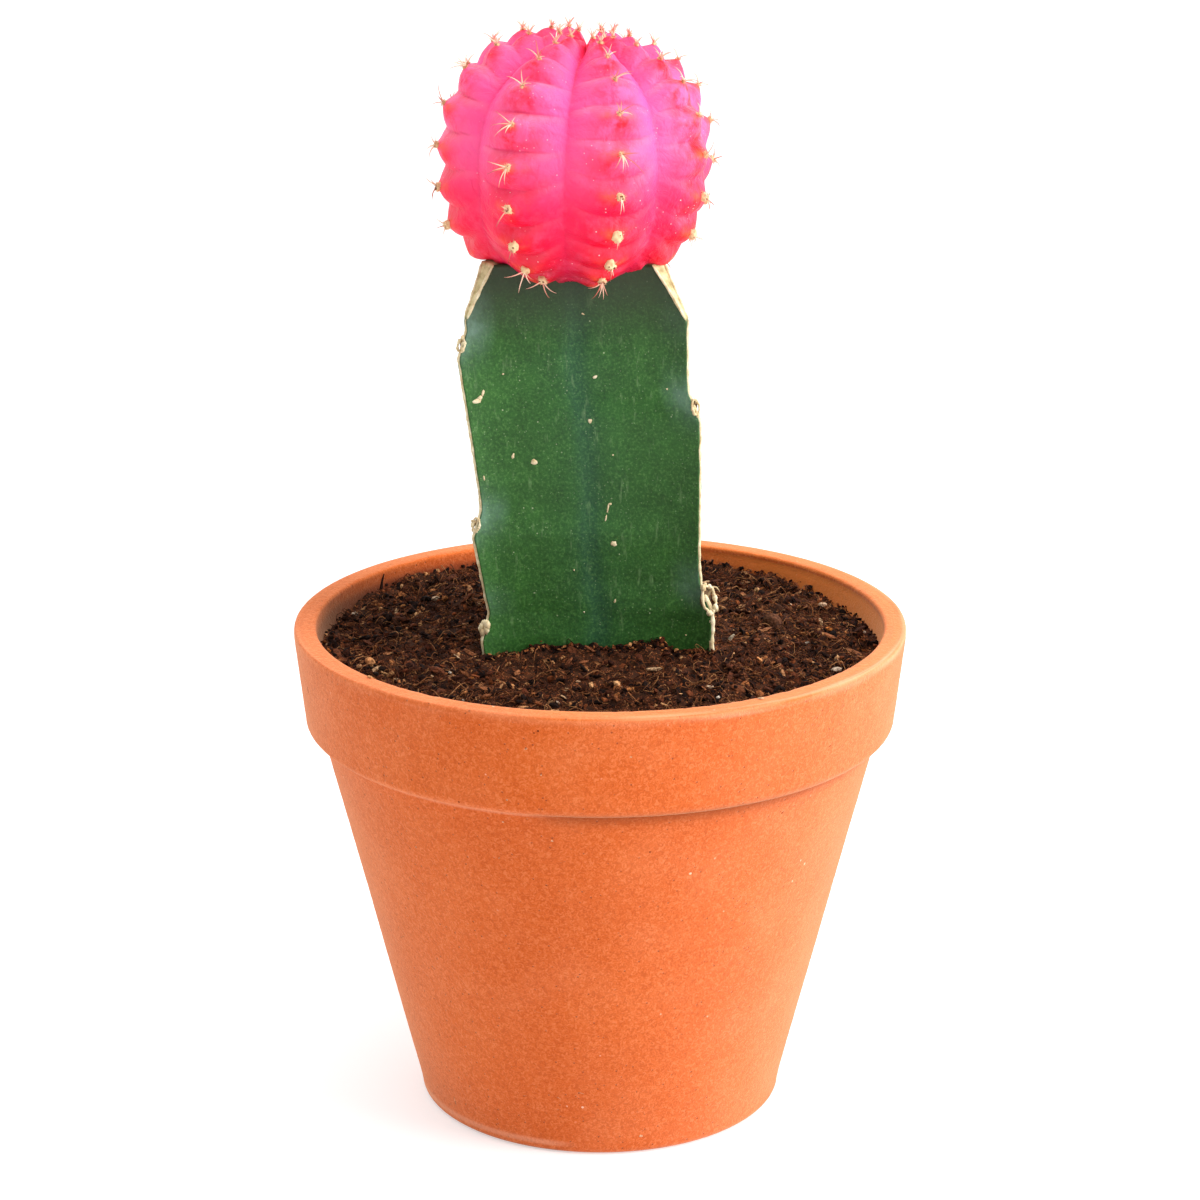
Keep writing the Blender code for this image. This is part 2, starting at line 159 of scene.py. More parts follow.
# The side, to the right and front, where the lip's edge is dustiest and a painted haze of light is strongest.
DUST_AND_HAZE_SIDE = radians(325)
DUST_SPACING = 0.0003
DUST_RADIUS = RIM_RADIUS - 0.0003
DUST_WIDTH = 0.0004
LIP_DUST_Z = (POT_HEIGHT - 0.0016, POT_HEIGHT - 0.0008)
# Where the painted highlight on the lip's top begins and where it is full.
LIP_HIGHLIGHT_Z = (POT_HEIGHT - 0.0008, POT_HEIGHT - 0.0003)
FOOT_DUST_Z = FOOT_ROUNDING * 1.15
# Painted shadow along the foot's bottom edge, and bands of painted shadow under the band: share, height and
# width.
FOOT_SHADE_Z = 0.0001
BAND_SHADES = ((0.4, BODY_TOP_Z + 0.0002, 0.0005), (0.5, BODY_TOP_Z - 0.0005, 0.0011))

# Small marks in the pot's outer face, by their pixels in the photograph: pixel x and y, half length and half
# width in millimetres, tilt in degrees, and shade from 0, a dark pit, to 1, a pale speck.
POT_MARKS = (
    (308, 690, 0.55, 0.05, -62, 0.15), (455, 1101, 0.8, 0.12, -72, 0.8), (466, 1104, 0.3, 0.07, 50, 0.7),
    (538, 731, 0.16, 0.14, 0, 0.0), (534, 733, 0.12, 0.1, 0, 0.0), (459, 802, 0.16, 0.13, 0, 0.05),
    (368, 758, 0.14, 0.1, -40, 0.15), (507, 800, 0.15, 0.13, 0, 1.0), (541, 775, 0.16, 0.12, 30, 0.9),
    (526, 749, 0.26, 0.1, 20, 0.8), (552, 841, 0.18, 0.15, 0, 1.0), (503, 822, 0.18, 0.15, 0, 0.9),
    (416, 847, 0.16, 0.13, 0, 0.9), (499, 858, 0.22, 0.08, 60, 0.8), (631, 757, 0.2, 0.16, 0, 0.75),
    (830, 746, 0.16, 0.12, 20, 0.2), (782, 813, 0.15, 0.13, 0, 0.2), (650, 852, 0.16, 0.13, 0, 0.15),
    (581, 1093, 0.5, 0.06, -20, 0.8), (559, 1098, 0.4, 0.06, -28, 0.75), (641, 1136, 0.3, 0.2, 0, 0.95),
)

# Soil: the bed's crumble, and what lies on it. The sizes of crumbs and chips are half lengths.
CRUMBLE = 0.00060
CRUMBLE_SIZE = 0.0019
MOTTLE_SIZE = 0.0015
DROP_Z = POT_HEIGHT + 0.004
CRUMB_COUNT = 7900
CRUMB_SIZE = (0.00018, 0.00085)
CRUMB_RARITY = 3.2
FIBRE_COUNT = 3200
FIBRE_LENGTH = (0.0010, 0.0048)
FIBRE_RADIUS = (0.00005, 0.00011)
FIBRE_STEPS = 5
FIBRE_MARGIN = 0.002
FIBRE_LIFT = 0.0003
CHIP_COUNT = 620
CHIP_SIZE = (0.0005, 0.0015)
WALL_CRUMB_COUNT = 420
WALL_CRUMB_RISE = 0.0006
WALL_CRUMB_SIZE = (0.00018, 0.00070)
WALL_LINE_WAVE = 0.0004
PILE_COUNT = 620
PILE_CRUMB_SIZE = (0.00018, 0.00055)
PILE_RISE = 0.0005
PILE_SPREAD = 0.0015
PILE_PEAKS = ((2.26, 0.0008, 0.03), (2.48, 0.0005, 0.015), (2.76, 0.0012, 0.05))
BACK_RISE = 0.0013
BACK_SPREAD = 0.0045

# Bits on the soil, by their pixels in the photograph: pixel x and y, half length and half width in
# millimetres, tilt in degrees, and shade, from dark wood through red, orange and tan to grey and white.
SOIL_BITS = (
    (355, 615, 0.5, 0.38, 0, 0.92), (436, 600, 0.72, 0.42, 0, 0.82), (370, 663, 0.78, 0.62, -30, 0.62),
    (359, 667, 0.48, 0.3, 15, 0.68), (471, 679, 0.52, 0.3, 25, 0.46), (454, 615, 0.46, 0.24, 35, 0.34),
    (450, 673, 0.25, 0.22, 0, 1.0), (463, 701, 0.22, 0.18, 0, 1.0), (370, 678, 0.42, 0.24, -20, 0.64),
    (397, 680, 0.5, 0.14, -20, 0.76), (329, 651, 0.44, 0.24, -50, 0.4), (403, 607, 0.44, 0.28, 30, 0.58),
    (391, 654, 0.38, 0.18, 15, 0.66), (730, 640, 0.98, 0.22, 52, 0.9), (748, 635, 0.48, 0.16, -45, 0.46),
    (772, 626, 1.65, 1.45, -20, 0.1), (800, 608, 0.46, 0.38, 0, 0.62), (790, 605, 0.26, 0.22, 0, 0.8),
    (822, 606, 0.72, 0.4, 5, 0.8), (833, 620, 0.36, 0.24, 35, 0.62), (829, 630, 0.58, 0.34, -15, 0.48),
    (864, 633, 0.32, 0.26, 0, 0.92), (807, 643, 0.34, 0.1, 15, 1.0), (837, 660, 0.28, 0.2, 0, 0.82),
    (863, 651, 0.38, 0.22, 20, 0.42), (836, 671, 0.88, 0.36, 10, 0.9), (710, 688, 0.74, 0.16, 0, 0.84),
    (718, 698, 0.32, 0.22, 25, 1.0), (761, 699, 0.52, 0.1, 0, 0.74), (794, 638, 0.32, 0.24, -30, 0.58),
    (558, 703, 0.36, 0.14, -42, 0.88), (561, 659, 0.34, 0.2, 40, 0.66), (578, 682, 0.34, 0.16, 5, 0.74),
    (630, 690, 0.8, 0.2, 8, 0.56), (760, 660, 0.55, 0.12, -40, 0.6), (463, 567, 0.35, 0.3, 0, 0.0),
)
# A fibre in front of the stem and a spike by the wall: radius, and the pixels that each runs through.
LONG_BITS = (
    (0.00010, ((632, 657), (631, 661), (629, 666), (627, 671))),
    (0.00028, ((381, 590), (382, 583), (384, 575))),
)
LONG_BIT_LIFT = 0.0002

# Stem: the sink of its faces, its corky margins, the skin's unevenness and where its tones lie.
SAG_SHARPNESS = 5
GROOVE_DEPTH = 0.00025
GROOVE_WIDTH = 0.045
MARGIN_RADIUS = 0.00027
MARGIN_STEP = 0.0004
MARGIN_SINK = 0.00016
MARGIN_END_Z = SOIL_EDGE_Z - 0.002
MARGIN_WAVER = 0.00022
MARGIN_WAVES = 420
MARGIN_LUMPS = 900
MARGIN_STAINS = 700
THICK_MARGIN = 1.5
THICK_MARGIN_FROM = (0.002, -0.001)
CUT_EDGE_RADIUS = 0.00022
CUT_EDGE_START = 0.0002
CUT_SEARCH = 0.005
SKIN_WAVE = 0.00010
SKIN_WAVE_SIZE = 0.006
SCAR_RISE = 0.00012
KNOT_STEPS = 18
KNOT_LUMPS = 14
KNOT_SINK = 0.0001
HOOK_RADII = (0.00020, 0.00017, 0.00013, 0.00007)
CUT_SOFTNESS = 0.0003
# Painted shadow on the stem's top under the ball, rising between these heights.
BALL_SHADOW_Z = (0.1130, 0.1275)
BLOOM_RISE = 0.0012
BLOOM_SPREAD = 0.0032
BLOOM_FOOT_Z = (0.076, 0.081)
SHOULDER_BLOOM_Z = (0.1150, 0.1240)

# Knots on the ribs' edges, from the second areole down: half width and half height of the corky ring, and
# its thickness.
KNOTS = (
    ((0.00065, 0.00100, 0.00026), (0.00110, 0.00200, 0.00040)),
    ((0.00090, 0.00120, 0.00032), (0.00110, 0.00140, 0.00034)),
    ((0.00060, 0.00095, 0.00026), (0.00065, 0.00095, 0.00028), (0.00045, 0.00070, 0.00050)),
)
# Curled spines of two knots: rib, knot, and the steps of its path from the knot in millimetres.
KNOT_HOOKS = (
    (0, 1, ((0.0, 0.0, 0.0009), (0.9, 0.5, 1.6), (1.5, 0.3, 1.5), (1.9, 0.0, 1.0))),
    (2, 1, ((0.0, 0.0, 0.2), (-0.5, 0.1, 0.6), (-0.9, 0.0, 0.5))),
)

# Corky scars on the front face, by their pixels in the photograph: pixel x and y, half width and half height
# in millimetres, and tilt in degrees.
SCARS = (
    (477, 401, 0.7, 0.36, 8), (480, 398, 0.4, 0.32, 40), (483, 393, 0.2, 0.52, -12),
    (503, 374, 0.15, 0.15, 0), (595, 377, 0.34, 0.2, 25), (590, 421, 0.3, 0.32, 0),
    (513, 456, 0.2, 0.42, -15), (534, 462, 0.46, 0.46, 0), (484, 478, 0.12, 0.36, 8),
    (608, 508, 0.13, 0.75, -8), (606, 518, 0.12, 0.55, -12), (610, 504, 0.24, 0.16, 0),
    (614, 544, 0.42, 0.42, 0), (615, 601, 0.14, 0.3, -20), (584, 612, 0.14, 0.1, 0),
    (667, 389, 0.14, 0.14, 0), (583, 314, 0.26, 0.1, -25), (686, 635, 0.12, 0.12, 0),
    (574, 570, 0.12, 0.12, 0), (613, 455, 0.13, 0.13, 0),
)

# Ball: its furrows and tubercles, how their ridges drape between furrow and crest, and its folds.
FURROW_SOFTNESS = 0.13
TUBERCLE_REACH = (1.2, 2.4)
CROWN_TUBERCLE = 0.55
NOTCH_SOFTNESS = 0.07
TIP_RISE = 0.00045
TIP_SIZE = 0.13
DRAPE_LEVEL = 1.15
DRAPE_SLOPE = 0.62
DRAPE_WAVER = 0.28
FOLD_DEPTH = 0.00012
CREST_RIDGE = 0.00006
CREST_WIDTH = 0.022
BALL_WAVE = 0.00012
BALL_WAVE_SIZE = 0.004

# Areoles and spines of the ball.
PAD_SIZE = (0.00024, 0.00066)
WOOL_COUNT = 44
WOOL_LENGTH = (0.00020, 0.00050)
WOOL_RADIUS = 0.000026
NUB_SIZE = (0.00012, 0.00024)
SPINE_COUNT = (3, 6)
SPINE_LENGTH = (0.0011, 0.0025)
SPINE_RADIUS = (0.00008, 0.00013)
SPINE_STEPS = 8
SPINE_BOW = 0.30
SPINE_LIFT = 0.0001
CROWN_TOP_Z = 0.1616

# Spines that the photograph shows one by one, by rib and areole: how far each tip lies to the right of its
# root and above it, in millimetres.
SPRAYS = {
    (0, 2): ((-0.4, 2.2), (-1.8, 1.0), (0.9, -0.3), (0.5, 1.0)),
    (0, 3): ((-2.1, 0.9), (-0.1, 1.9), (1.0, 1.0), (1.4, -0.5)),
    (0, 4): ((-2.0, 1.6), (-2.7, -0.4), (-2.0, -2.1), (-0.5, -1.7), (0.6, 0.9), (-1.5, -0.8)),
    (0, 5): ((-2.5, 0.8), (-1.9, -0.5), (-2.5, -1.0), (-0.6, -2.9), (0.4, -2.6), (1.0, 0.3)),
    (0, 6): ((-1.3, -2.4), (-0.8, 0.5)),
    (0, 7): ((-0.4, -2.1), (0.3, -1.2)),
    (0, 8): ((-2.7, -0.6), (-0.7, -2.8), (0.9, -1.6), (1.3, -1.1)),
    (1, 2): ((0.5, 1.5), (-0.9, 1.1), (1.1, 0.4)),
    (1, 3): ((2.5, 0.6), (2.2, 0.3), (0.6, 1.2), (-0.7, 0.6)),
    (1, 4): ((1.8, 0.9), (1.6, -0.4), (0.1, 1.5), (-0.6, 1.3)),
    (1, 5): ((-1.7, -2.7), (2.8, -3.0), (0.1, -2.3), (0.6, -2.0), (-0.4, -2.8), (2.2, 0.1), (-0.9, -0.5)),
    (1, 6): ((-0.4, -2.4), (0.2, -2.1)),
    (1, 7): ((-0.2, -1.7), (0.1, -1.4)),
    (1, 8): ((-0.2, -2.0), (0.3, -1.3)),
    (1, 9): ((-1.6, -2.1), (-0.6, -2.0), (0.7, -1.7), (-2.1, -0.5), (0.1, -2.2)),
    (7, 3): ((0.5, 1.6), (-1.1, 1.1), (-2.2, 0.2), (-2.2, -1.6)),
    (7, 4): ((-0.3, 2.3), (-0.6, 0.8), (-1.4, -0.5)),
    (7, 5): ((-0.4, 1.2), (0.2, 1.1), (-1.4, -1.1), (-0.9, -0.3), (-0.2, -2.0)),
    (7, 6): ((-1.4, 1.3), (-0.7, 1.0), (-0.3, -1.7), (0.2, -2.1)),
    (7, 7): ((-1.2, 1.2), (-1.3, -0.4), (-0.1, -1.6)),
    (7, 8): ((-0.5, 0.2), (0.9, -1.7), (1.8, -2.2)),
}

# A further areole low on the ball's front, by its pixel, with its colatitude and its spray.
LOW_AREOLE = (543, 280)
LOW_COLATITUDE = 2.4
LOW_SPRAY = ((-2.2, -0.9), (2.1, -1.5), (1.1, -2.2), (-0.9, 0.2))


def smooth_step(low, high, value):
    share = min(1.0, max(0.0, (value - low) / (high - low)))
    return share * share * (3 - 2 * share)


def mix(a, b, share):
    return a + (b - a) * share


def evenly(start, end, count):
    """Values from start to end in count equal steps."""
    return [mix(start, end, i / count) for i in range(count + 1)]


def bell(value, centre, width):
    return exp(-((value - centre) / width) ** 2)


def level(angle):
    """The level unit vector that points along an angle."""
    return Vector((cos(angle), sin(angle), 0.0))


def aimed(origin, direction):
    """A matrix at origin whose Z axis points along direction."""
    return Matrix.Translation(origin) @ direction.to_track_quat("Z", "Y").to_matrix().to_4x4()


def axes(right, up, out):
    """The matrix that turns X, Y and Z to these directions."""
    return Matrix((right, up, out)).transposed().to_4x4()


def stretch(x, y, z):
    return Matrix.Diagonal((x, y, z, 1.0))


def arc(centre, radii, start, turn, steps):
    """Points of an elliptical arc about centre, from the angle start through turn, ends included."""
    points = []
    for i in range(steps + 1):
        angle = start + turn * i / steps
        points.append((centre[0] + radii[0] * cos(angle), centre[1] + radii[1] * sin(angle)))
    return points


def halved(low, high, is_low):
    """Where a condition that holds at low stops holding on the way to high."""
    for _ in range(HALVINGS):
        middle = (low + high) / 2
        if is_low(middle):
            low = middle
        else:
            high = middle
    return low


def sight(x, y, tree):
    """Where a pixel's sight line meets a surface: the point, its normal, the face and the distance."""
    line = Vector((x - PICTURE / 2, PICTURE / 2 - y, -FOCAL_PIXELS))
    return tree.ray_cast(CAMERA_PLACE, (Matrix.Rotation(CAMERA_TILT, 3, "X") @ line).normalized())


def seat_at(tree, x, y, tilt):
    """A matrix on a surface at a pixel: Z along the normal, and X to the right, turned by tilt in degrees."""
    point, normal = sight(x, y, tree)[:2]
    right = (Vector((1, 0, 0)) - normal * normal.x).normalized()
    turned = axes(right, normal.cross(right), normal)
    return Matrix.Translation(point) @ turned @ Matrix.Rotation(radians(tilt), 4, "Z")


# Mesh helpers.

def surface_tree(obj):
    return BVHTree.FromPolygons([v.co for v in obj.data.vertices], [p.vertices for p in obj.data.polygons])


def add_object(name, data):
    obj = bpy.data.objects.new(name, data)
    bpy.context.scene.collection.objects.link(obj)
    return obj


def add_mesh(name, points, faces, attributes, material, smooth=True):
    mesh = bpy.data.meshes.new(name)
    mesh.from_pydata(points, [], faces)
    for key, values in attributes.items():
        mesh.attributes.new(key, "FLOAT", "POINT").data.foreach_set("value", values)
    mesh.materials.append(material)
    if smooth:
        mesh.shade_smooth()
    return add_object(name, mesh)


def finish_piece(piece, slot, *nodes):
    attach(piece, "root")
    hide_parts(*nodes)


def add_surface(name, rows, attributes, material, looped=False):
    """A closed mesh through rows of points, top row first. Unless looped, a fan closes each end row."""
    columns = len(rows[0])
    points = [point for row in rows for point in row]
    faces = []
    for i in range(len(rows) if looped else len(rows) - 1):
        below = (i + 1) % len(rows)
        for j in range(columns):
            k = (j + 1) % columns
            faces.append((i * columns + j, below * columns + j, below * columns + k, i * columns + k))
    if not looped:
        last = len(points) - columns
        faces.append(tuple(range(columns)))
        faces.append(tuple(last + j for j in reversed(range(columns))))
    return add_mesh(name, points, faces, attributes, material)


def add_skin(name, downs, rounds, spot, tones, material, looped=False):
    """A closed skin. spot gives the point and the tones for each step down and each step round."""
    spots = [[spot(down, step) for step in rounds] for down in downs]
    shares = zip(*(shares for row in spots for _, shares in row))
    rows = [[point for point, _ in row] for row in spots]
    return add_surface(name, rows, dict(zip(tones, shares)), material, looped)


class Heap:
    """Many small shapes in one mesh. Each shape has a shade, a number that its material reads."""

    def __init__(self):
        self.points = []
        self.faces = []
        self.shades = []

    def add(self, points, faces, shade):
        first = len(self.points)
        self.points.extend(points)
        self.faces.extend(tuple(first + i for i in face) for face in faces)
        self.shades.extend([shade] * len(points) if isinstance(shade, float) else shade)

    def build(self, name, material, slot, node, smooth=True):
        piece = add_mesh(name, self.points, self.faces, {"shade": self.shades}, material, smooth)
        finish_piece(piece, slot, node)
        return piece


def ball_mould(subdivisions):
    """The points and faces of an icosphere of radius 1."""
    shape = bmesh.new()
    bmesh.ops.create_icosphere(shape, subdivisions=subdivisions, radius=1.0)
    points = [v.co.copy() for v in shape.verts]
    faces = [tuple(v.index for v in f.verts) for f in shape.faces]
    shape.free()
    return points, faces


COARSE_BALL = ball_mould(1)
MIDDLE_BALL = ball_mould(2)
FINE_BALL = ball_mould(3)


def add_lump(heap, draw, place, roughness, shade, mould=COARSE_BALL):
    """An angular lump: an icosphere placed and stretched by a matrix, its points pushed in or out."""
    points, faces = mould
    heap.add([place @ (p * (1 + draw.uniform(-roughness, roughness))) for p in points], faces, shade)


def add_bumpy_ball(heap, place, bump, size, seed, shade):
    """A rounder lump, whose surface follows a noise."""
    points, faces = MIDDLE_BALL
    shift = Vector((seed, 2.7 * seed, 0.0))
    heap.add([place @ (p * (1 + bump * noise(p / size + shift))) for p in points], faces, shade)


def add_tube(heap, path, radii, sides, shade):
    """A tube along a path of points, closed at both ends."""
    points = []
    side = (path[1] - path[0]).orthogonal().normalized()
    for i, point in enumerate(path):
        ahead = (path[min(i + 1, len(path) - 1)] - path[max(i - 1, 0)]).normalized()
        side = (side - ahead * side.dot(ahead)).normalized()
        other = ahead.cross(side)
        for j in range(sides):
            angle = tau * j / sides
            points.append(point + radii[i] * (side * cos(angle) + other * sin(angle)))
    last = len(points) - sides
    faces = [tuple(reversed(range(sides))), tuple(range(last, last + sides))]
    for i in range(0, last, sides):
        for j in range(sides):
            k = (j + 1) % sides
            faces.append((i + j, i + k, i + sides + k, i + sides + j))
    heap.add(points, faces, shade)


# Material helpers.

WHITE = (1.0, 1.0, 1.0, 1.0)


def colour(code):
    """A hexadecimal display colour as linear RGBA."""
    shares = [int(code[i:i + 2], 16) / 255 for i in (0, 2, 4)]
    return (*(s / 12.92 if s <= 0.04045 else ((s + 0.055) / 1.055) ** 2.4 for s in shares), 1.0)


def feed(tree, socket, value):
    """Gives a socket a value, another node's output or the mesh's attribute of a name."""
    if isinstance(value, str):
        value = add_node(tree, "Attribute", "Fac", attribute_name=value)
    if isinstance(value, bpy.types.NodeSocket):
        tree.links.new(value, socket)
    else:
        socket.default_value = value


def add_node(tree, kind, output, inputs=(), **settings):
    """Adds a node and returns one of its outputs."""
    made = tree.nodes.new("ShaderNode" + kind)
    for name, value in settings.items():
        setattr(made, name, value)
    for name, value in dict(inputs).items():
        feed(tree, made.inputs[name], value)
    return made.outputs[output]


class Recipe:
    """A material's nodes, and in base the colour that they have come to. Scales count features per metre."""

    def __init__(self, name, roughness, specular=0.5):
        self.material = bpy.data.materials.new(name)
        self.material.use_nodes = True
        self.tree = self.material.node_tree
        self.inputs = self.tree.nodes["Principled BSDF"].inputs
        self.inputs["Roughness"].default_value = roughness
        self.inputs["Specular IOR Level"].default_value = specular
        self.place = self.node("TexCoord", "Object")
        self.base = None

    def node(self, kind, output, inputs=(), **settings):
        return add_node(self.tree, kind, output, inputs, **settings)

    def stretched(self, x, y, z):
        """Coordinates in which features are x, y and z times as close together."""
        return self.node("Mapping", "Vector", {"Vector": self.place, "Scale": (x, y, z)})

    def noise(self, scale, detail=3.0, roughness=0.55, place=None, warp=0.0):
        inputs = {"Vector": place or self.place, "Scale": scale, "Detail": detail, "Roughness": roughness}
        return self.node("TexNoise", "Fac", {**inputs, "Distortion": warp})

    def times(self, a, b):
        return self.node("Math", "Value", {0: a, 1: b}, operation="MULTIPLY")

    def remap(self, value, low, high, to_low=0.0, to_high=1.0):
        inputs = {"Value": value, "From Min": low, "From Max": high, "To Min": to_low, "To Max": to_high}
        return self.node("MapRange", "Result", inputs, interpolation_type="SMOOTHSTEP")

    def patches(self, scale, detail, roughness, *limits):
        return self.remap(self.noise(scale, detail, roughness), *limits)

    def dots(self, scale, size, strength, patch_scale, patch_from):
        """Small round dots, strength deep, where a patchy noise lets them show."""
        away = self.node("TexVoronoi", "Distance", {"Vector": self.place, "Scale": scale})
        dot = self.remap(away, size, 1.7 * size, strength, 0.0)
        return self.times(dot, self.patches(patch_scale, 2, 0.55, patch_from, patch_from + 0.08))

    def flakes(self, scale):
        """A random share for each small bent cell, which falls to 0 at the cell's border."""
        swirl = self.node("TexNoise", "Color", {"Vector": self.place, "Scale": 900, "Detail": 2})
        bend = self.node("VectorMath", "Vector", {0: swirl, 1: (0.0018,) * 3}, operation="MULTIPLY")
        place = self.node("VectorMath", "Vector", {0: self.place, 1: bend}, operation="ADD")
        cell = self.node("TexVoronoi", "Color", {"Vector": place, "Scale": scale})
        chance = self.node("SeparateColor", "Red", {"Color": cell})
        return self.times(chance, self.remap(cell.node.outputs["Distance"], 0.22, 0.55, 1.0, 0.0))

    def ramp(self, value, *stops):
        made = self.node("ValToRGB", "Color", {"Fac": value})
        elements = made.node.color_ramp.elements
        while len(elements) < len(stops):
            elements.new(0.5)
        for element, (position, code) in zip(elements, stops):
            element.position = position
            element.color = colour(code)
        return made

    def blend(self, share, paint, way="MIX"):
        """Lays a share of another colour over the base."""
        inputs = {0: share, 6: self.base, 7: paint}
        self.base = self.node("Mix", 2, inputs, data_type="RGBA", blend_type=way)

    def tint(self, *layers):
        """Lays (share, colour) layers over the base, one after another."""
        for share, code in layers:
            self.blend(share, colour(code))

    def sheen(self, weight, code):
        self.inputs["Sheen Weight"].default_value = weight
        self.inputs["Sheen Roughness"].default_value = 0.5
        self.inputs["Sheen Tint"].default_value = colour(code)

    def finish(self, *layers):
        """The material, painted with the base and bumped by (height, depth in metres) layers."""
        bump = {}
        for height, depth in layers:
            bump = {"Normal": self.node("Bump", "Normal", {"Height": height, "Distance": depth, **bump})}
        for name, value in {"Base Color": self.base, **bump}.items():
            feed(self.tree, self.inputs[name], value)
        return self.material


def terracotta_material():
    look = Recipe("terracotta_fired", 0.78, 0.12)
    look.base = look.ramp(look.noise(60, 4, 0.6), (0.30, "C65311"), (0.50, "CC5816"), (0.72, "D2601C"))
    grain = look.noise(2000, 2, 0.5, warp=1.4)
    look.blend(0.45, look.ramp(grain, (0.36, "AA4210"), (0.51, "CC5C20"), (0.66, "E08252")))
    pits = look.dots(1000, 0.10, 0.8, 520, 0.48)
    look.tint(
        (look.times(look.patches(120, 3, 0.5, 0.40, 0.75), 0.04), "F0AC90"),
        (pits, "8C3410"),
        (look.dots(420, 0.06, 0.8, 300, 0.60), "F4C6A8"),
        # Painted light, dust with a painted haze, painted shadow and painted shade inside the pot.
        ("painted_light", "F5883A"), ("dust_and_painted_haze", "F2C0A0"), ("painted_shade", "803614"), ("painted_inner_shade", "501400"),
    )
    look.sheen(0.50, "FFD2A8")
    return look.finish((grain, 0.00010), (look.noise(900, 3, 0.5), 0.00006), (pits, -0.00008))


def grain_material(name, *stops, flaky=False):
    """Crumbly matter, whose colour runs along the stops by shade. Flaky matter is mottled flake by flake."""
    look = Recipe(name, 0.85, 0.12)
    look.base = look.ramp("shade", *stops)
    if flaky:
        # Each flake has its own tone and darkens towards its border: painted shade in the gaps between
        # flakes.
        grain = look.flakes(2300)
        mottle = look.ramp(grain, (0.0, "140E0A"), (0.25, "967A66"), (0.7, "FFF4E8"))
    else:
        grain = look.noise(2400, 4, 0.65)
        mottle = look.ramp(look.noise(2800, 3, 0.7), (0.38, "62503F"), (0.62, "FFF8F0"))
    look.blend(0.85 if flaky else 0.75, mottle, "MULTIPLY")
    return look.finish((grain, 0.00035))


def stem_material():
    look = Recipe("stem_green_skin", 0.50, 0.30)
    look.base = look.ramp(look.noise(240, 5, 0.62), (0.30, "1D4415"), (0.50, "27561E"), (0.70, "336826"))
    # Painted shade in each face's central groove.
    look.tint((look.times("painted_groove_shade", 0.7), "204A42"))
    fine = look.noise(2600, 3, 0.65)
    look.blend(0.5, look.ramp(fine, (0.32, "173A13"), (0.52, "2B5A20"), (0.74, "5E8E48")))
    streaks = look.noise(1100, 4, 0.6, look.stretched(1, 1, 0.22))
    look.tint(
        (look.remap(streaks, 0.58, 0.74, 0.0, 0.25), "86A672"),
        (look.dots(1500, 0.10, 0.35, 260, 0.44), "94B080"),
        (look.dots(620, 0.05, 0.6, 150, 0.50), "B8C69C"),
        (look.dots(500, 0.05, 0.6, 150, 0.54), "1B2E14"),
        (look.times("bloom", look.patches(420, 4, 0.65, 0.30, 0.66, 0.45, 1.0)), "86A89C"),
        # Painted shadow on the stem's top, under the ball.
        ("painted_shadow", "2C3422"),
    )
    cork = look.noise(900, 4, 0.6)
    look.blend("cut", look.ramp(cork, (0.32, "9C8A5A"), (0.52, "C6BA88"), (0.72, "DCD2A6")))
    return look.finish((look.noise(1400, 4, 0.6), 0.00007), (look.noise(320, 3), 0.00014))


def cork_material():
    look = Recipe("dry_cork", 0.8, 0.25)
    look.base = look.ramp(look.noise(900, 4, 0.65), (0.30, "B49C70"), (0.50, "D8C8A0"), (0.72, "F2E8CC"))
    look.blend("shade", look.ramp("shade", (0.0, "C48C50"), (0.5, "94602E"), (1.0, "2E1A0E")))
    return look.finish((look.noise(2200, 4, 0.65), 0.00007))


def ball_material():
    look = Recipe("moon_pink_skin", 0.48, 0.18)
    # Pink above and crimson below; the dark stops at the bottom are painted shade.
    upper = (0.05, "FF4472"), (0.30, "FF62A0"), (0.44, "FF5E96")
    look.base = look.ramp("down", *upper, (0.58, "FF124C"), (0.72, "E6022C"), (0.86, "A8061E"))
    uneven = look.patches(330, 4, 0.65, 0.36, 0.64, 0.15, 1.0)
    specks = look.times(look.dots(1300, 0.09, 0.9, 260, 0.52), look.remap("down", 0.30, 0.62, 0.35, 1.0))
    look.tint(
        ("flank", "FF4A90"),
        # Painted highlight on the shelves above the notches and along the crests.
        (look.times("painted_light", look.patches(280, 3, 0.55, 0.34, 0.62, 0.25, 1.0)), "FF88A0"),
        # Red crests, with painted shade under each areole and on the right side.
        (look.times("red_and_painted_shade", uneven), "F40C2A"),
        (look.times("ember", uneven), "FF7440"),
        # Painted shade in the notches and furrows.
        ("crease", "D40A44"),
        (look.patches(420, 4, 0.6, 0.45, 0.75, 0.0, 0.25), "FF6A94"),
        (look.patches(260, 3, 0.6, 0.50, 0.72, 0.0, 0.30), "FF3A58"),
        (specks, "FFD6DC"),
    )
    look.inputs["Subsurface Weight"].default_value = 0.18
    look.inputs["Subsurface Radius"].default_value = (1.0, 0.22, 0.26)
    look.inputs["Subsurface Scale"].default_value = 0.0016
    return look.finish((look.noise(1800, 4, 0.65), 0.00010), (look.noise(480, 4, 0.65, warp=1.0), 0.00030))


def wool_material():
    look = Recipe("areole_wool", 0.9, 0.2)
    look.base = look.ramp("shade", (0.0, "EAC698"), (0.3, "DCA47C"), (0.6, "B8704E"), (1.0, "5E1C18"))
    look.sheen(0.3, "FFF0DC")
    return look.finish((look.noise(5200, 3, 0.6), 0.00006))


def spine_material():
    look = Recipe("spine_horn", 0.42, 0.5)
    look.base = look.ramp("shade", (0.0, "FADCC0"), (0.35, "F4B49C"), (0.7, "C0604C"), (1.0, "5A2A1C"))
    return look.finish()


# Pot.

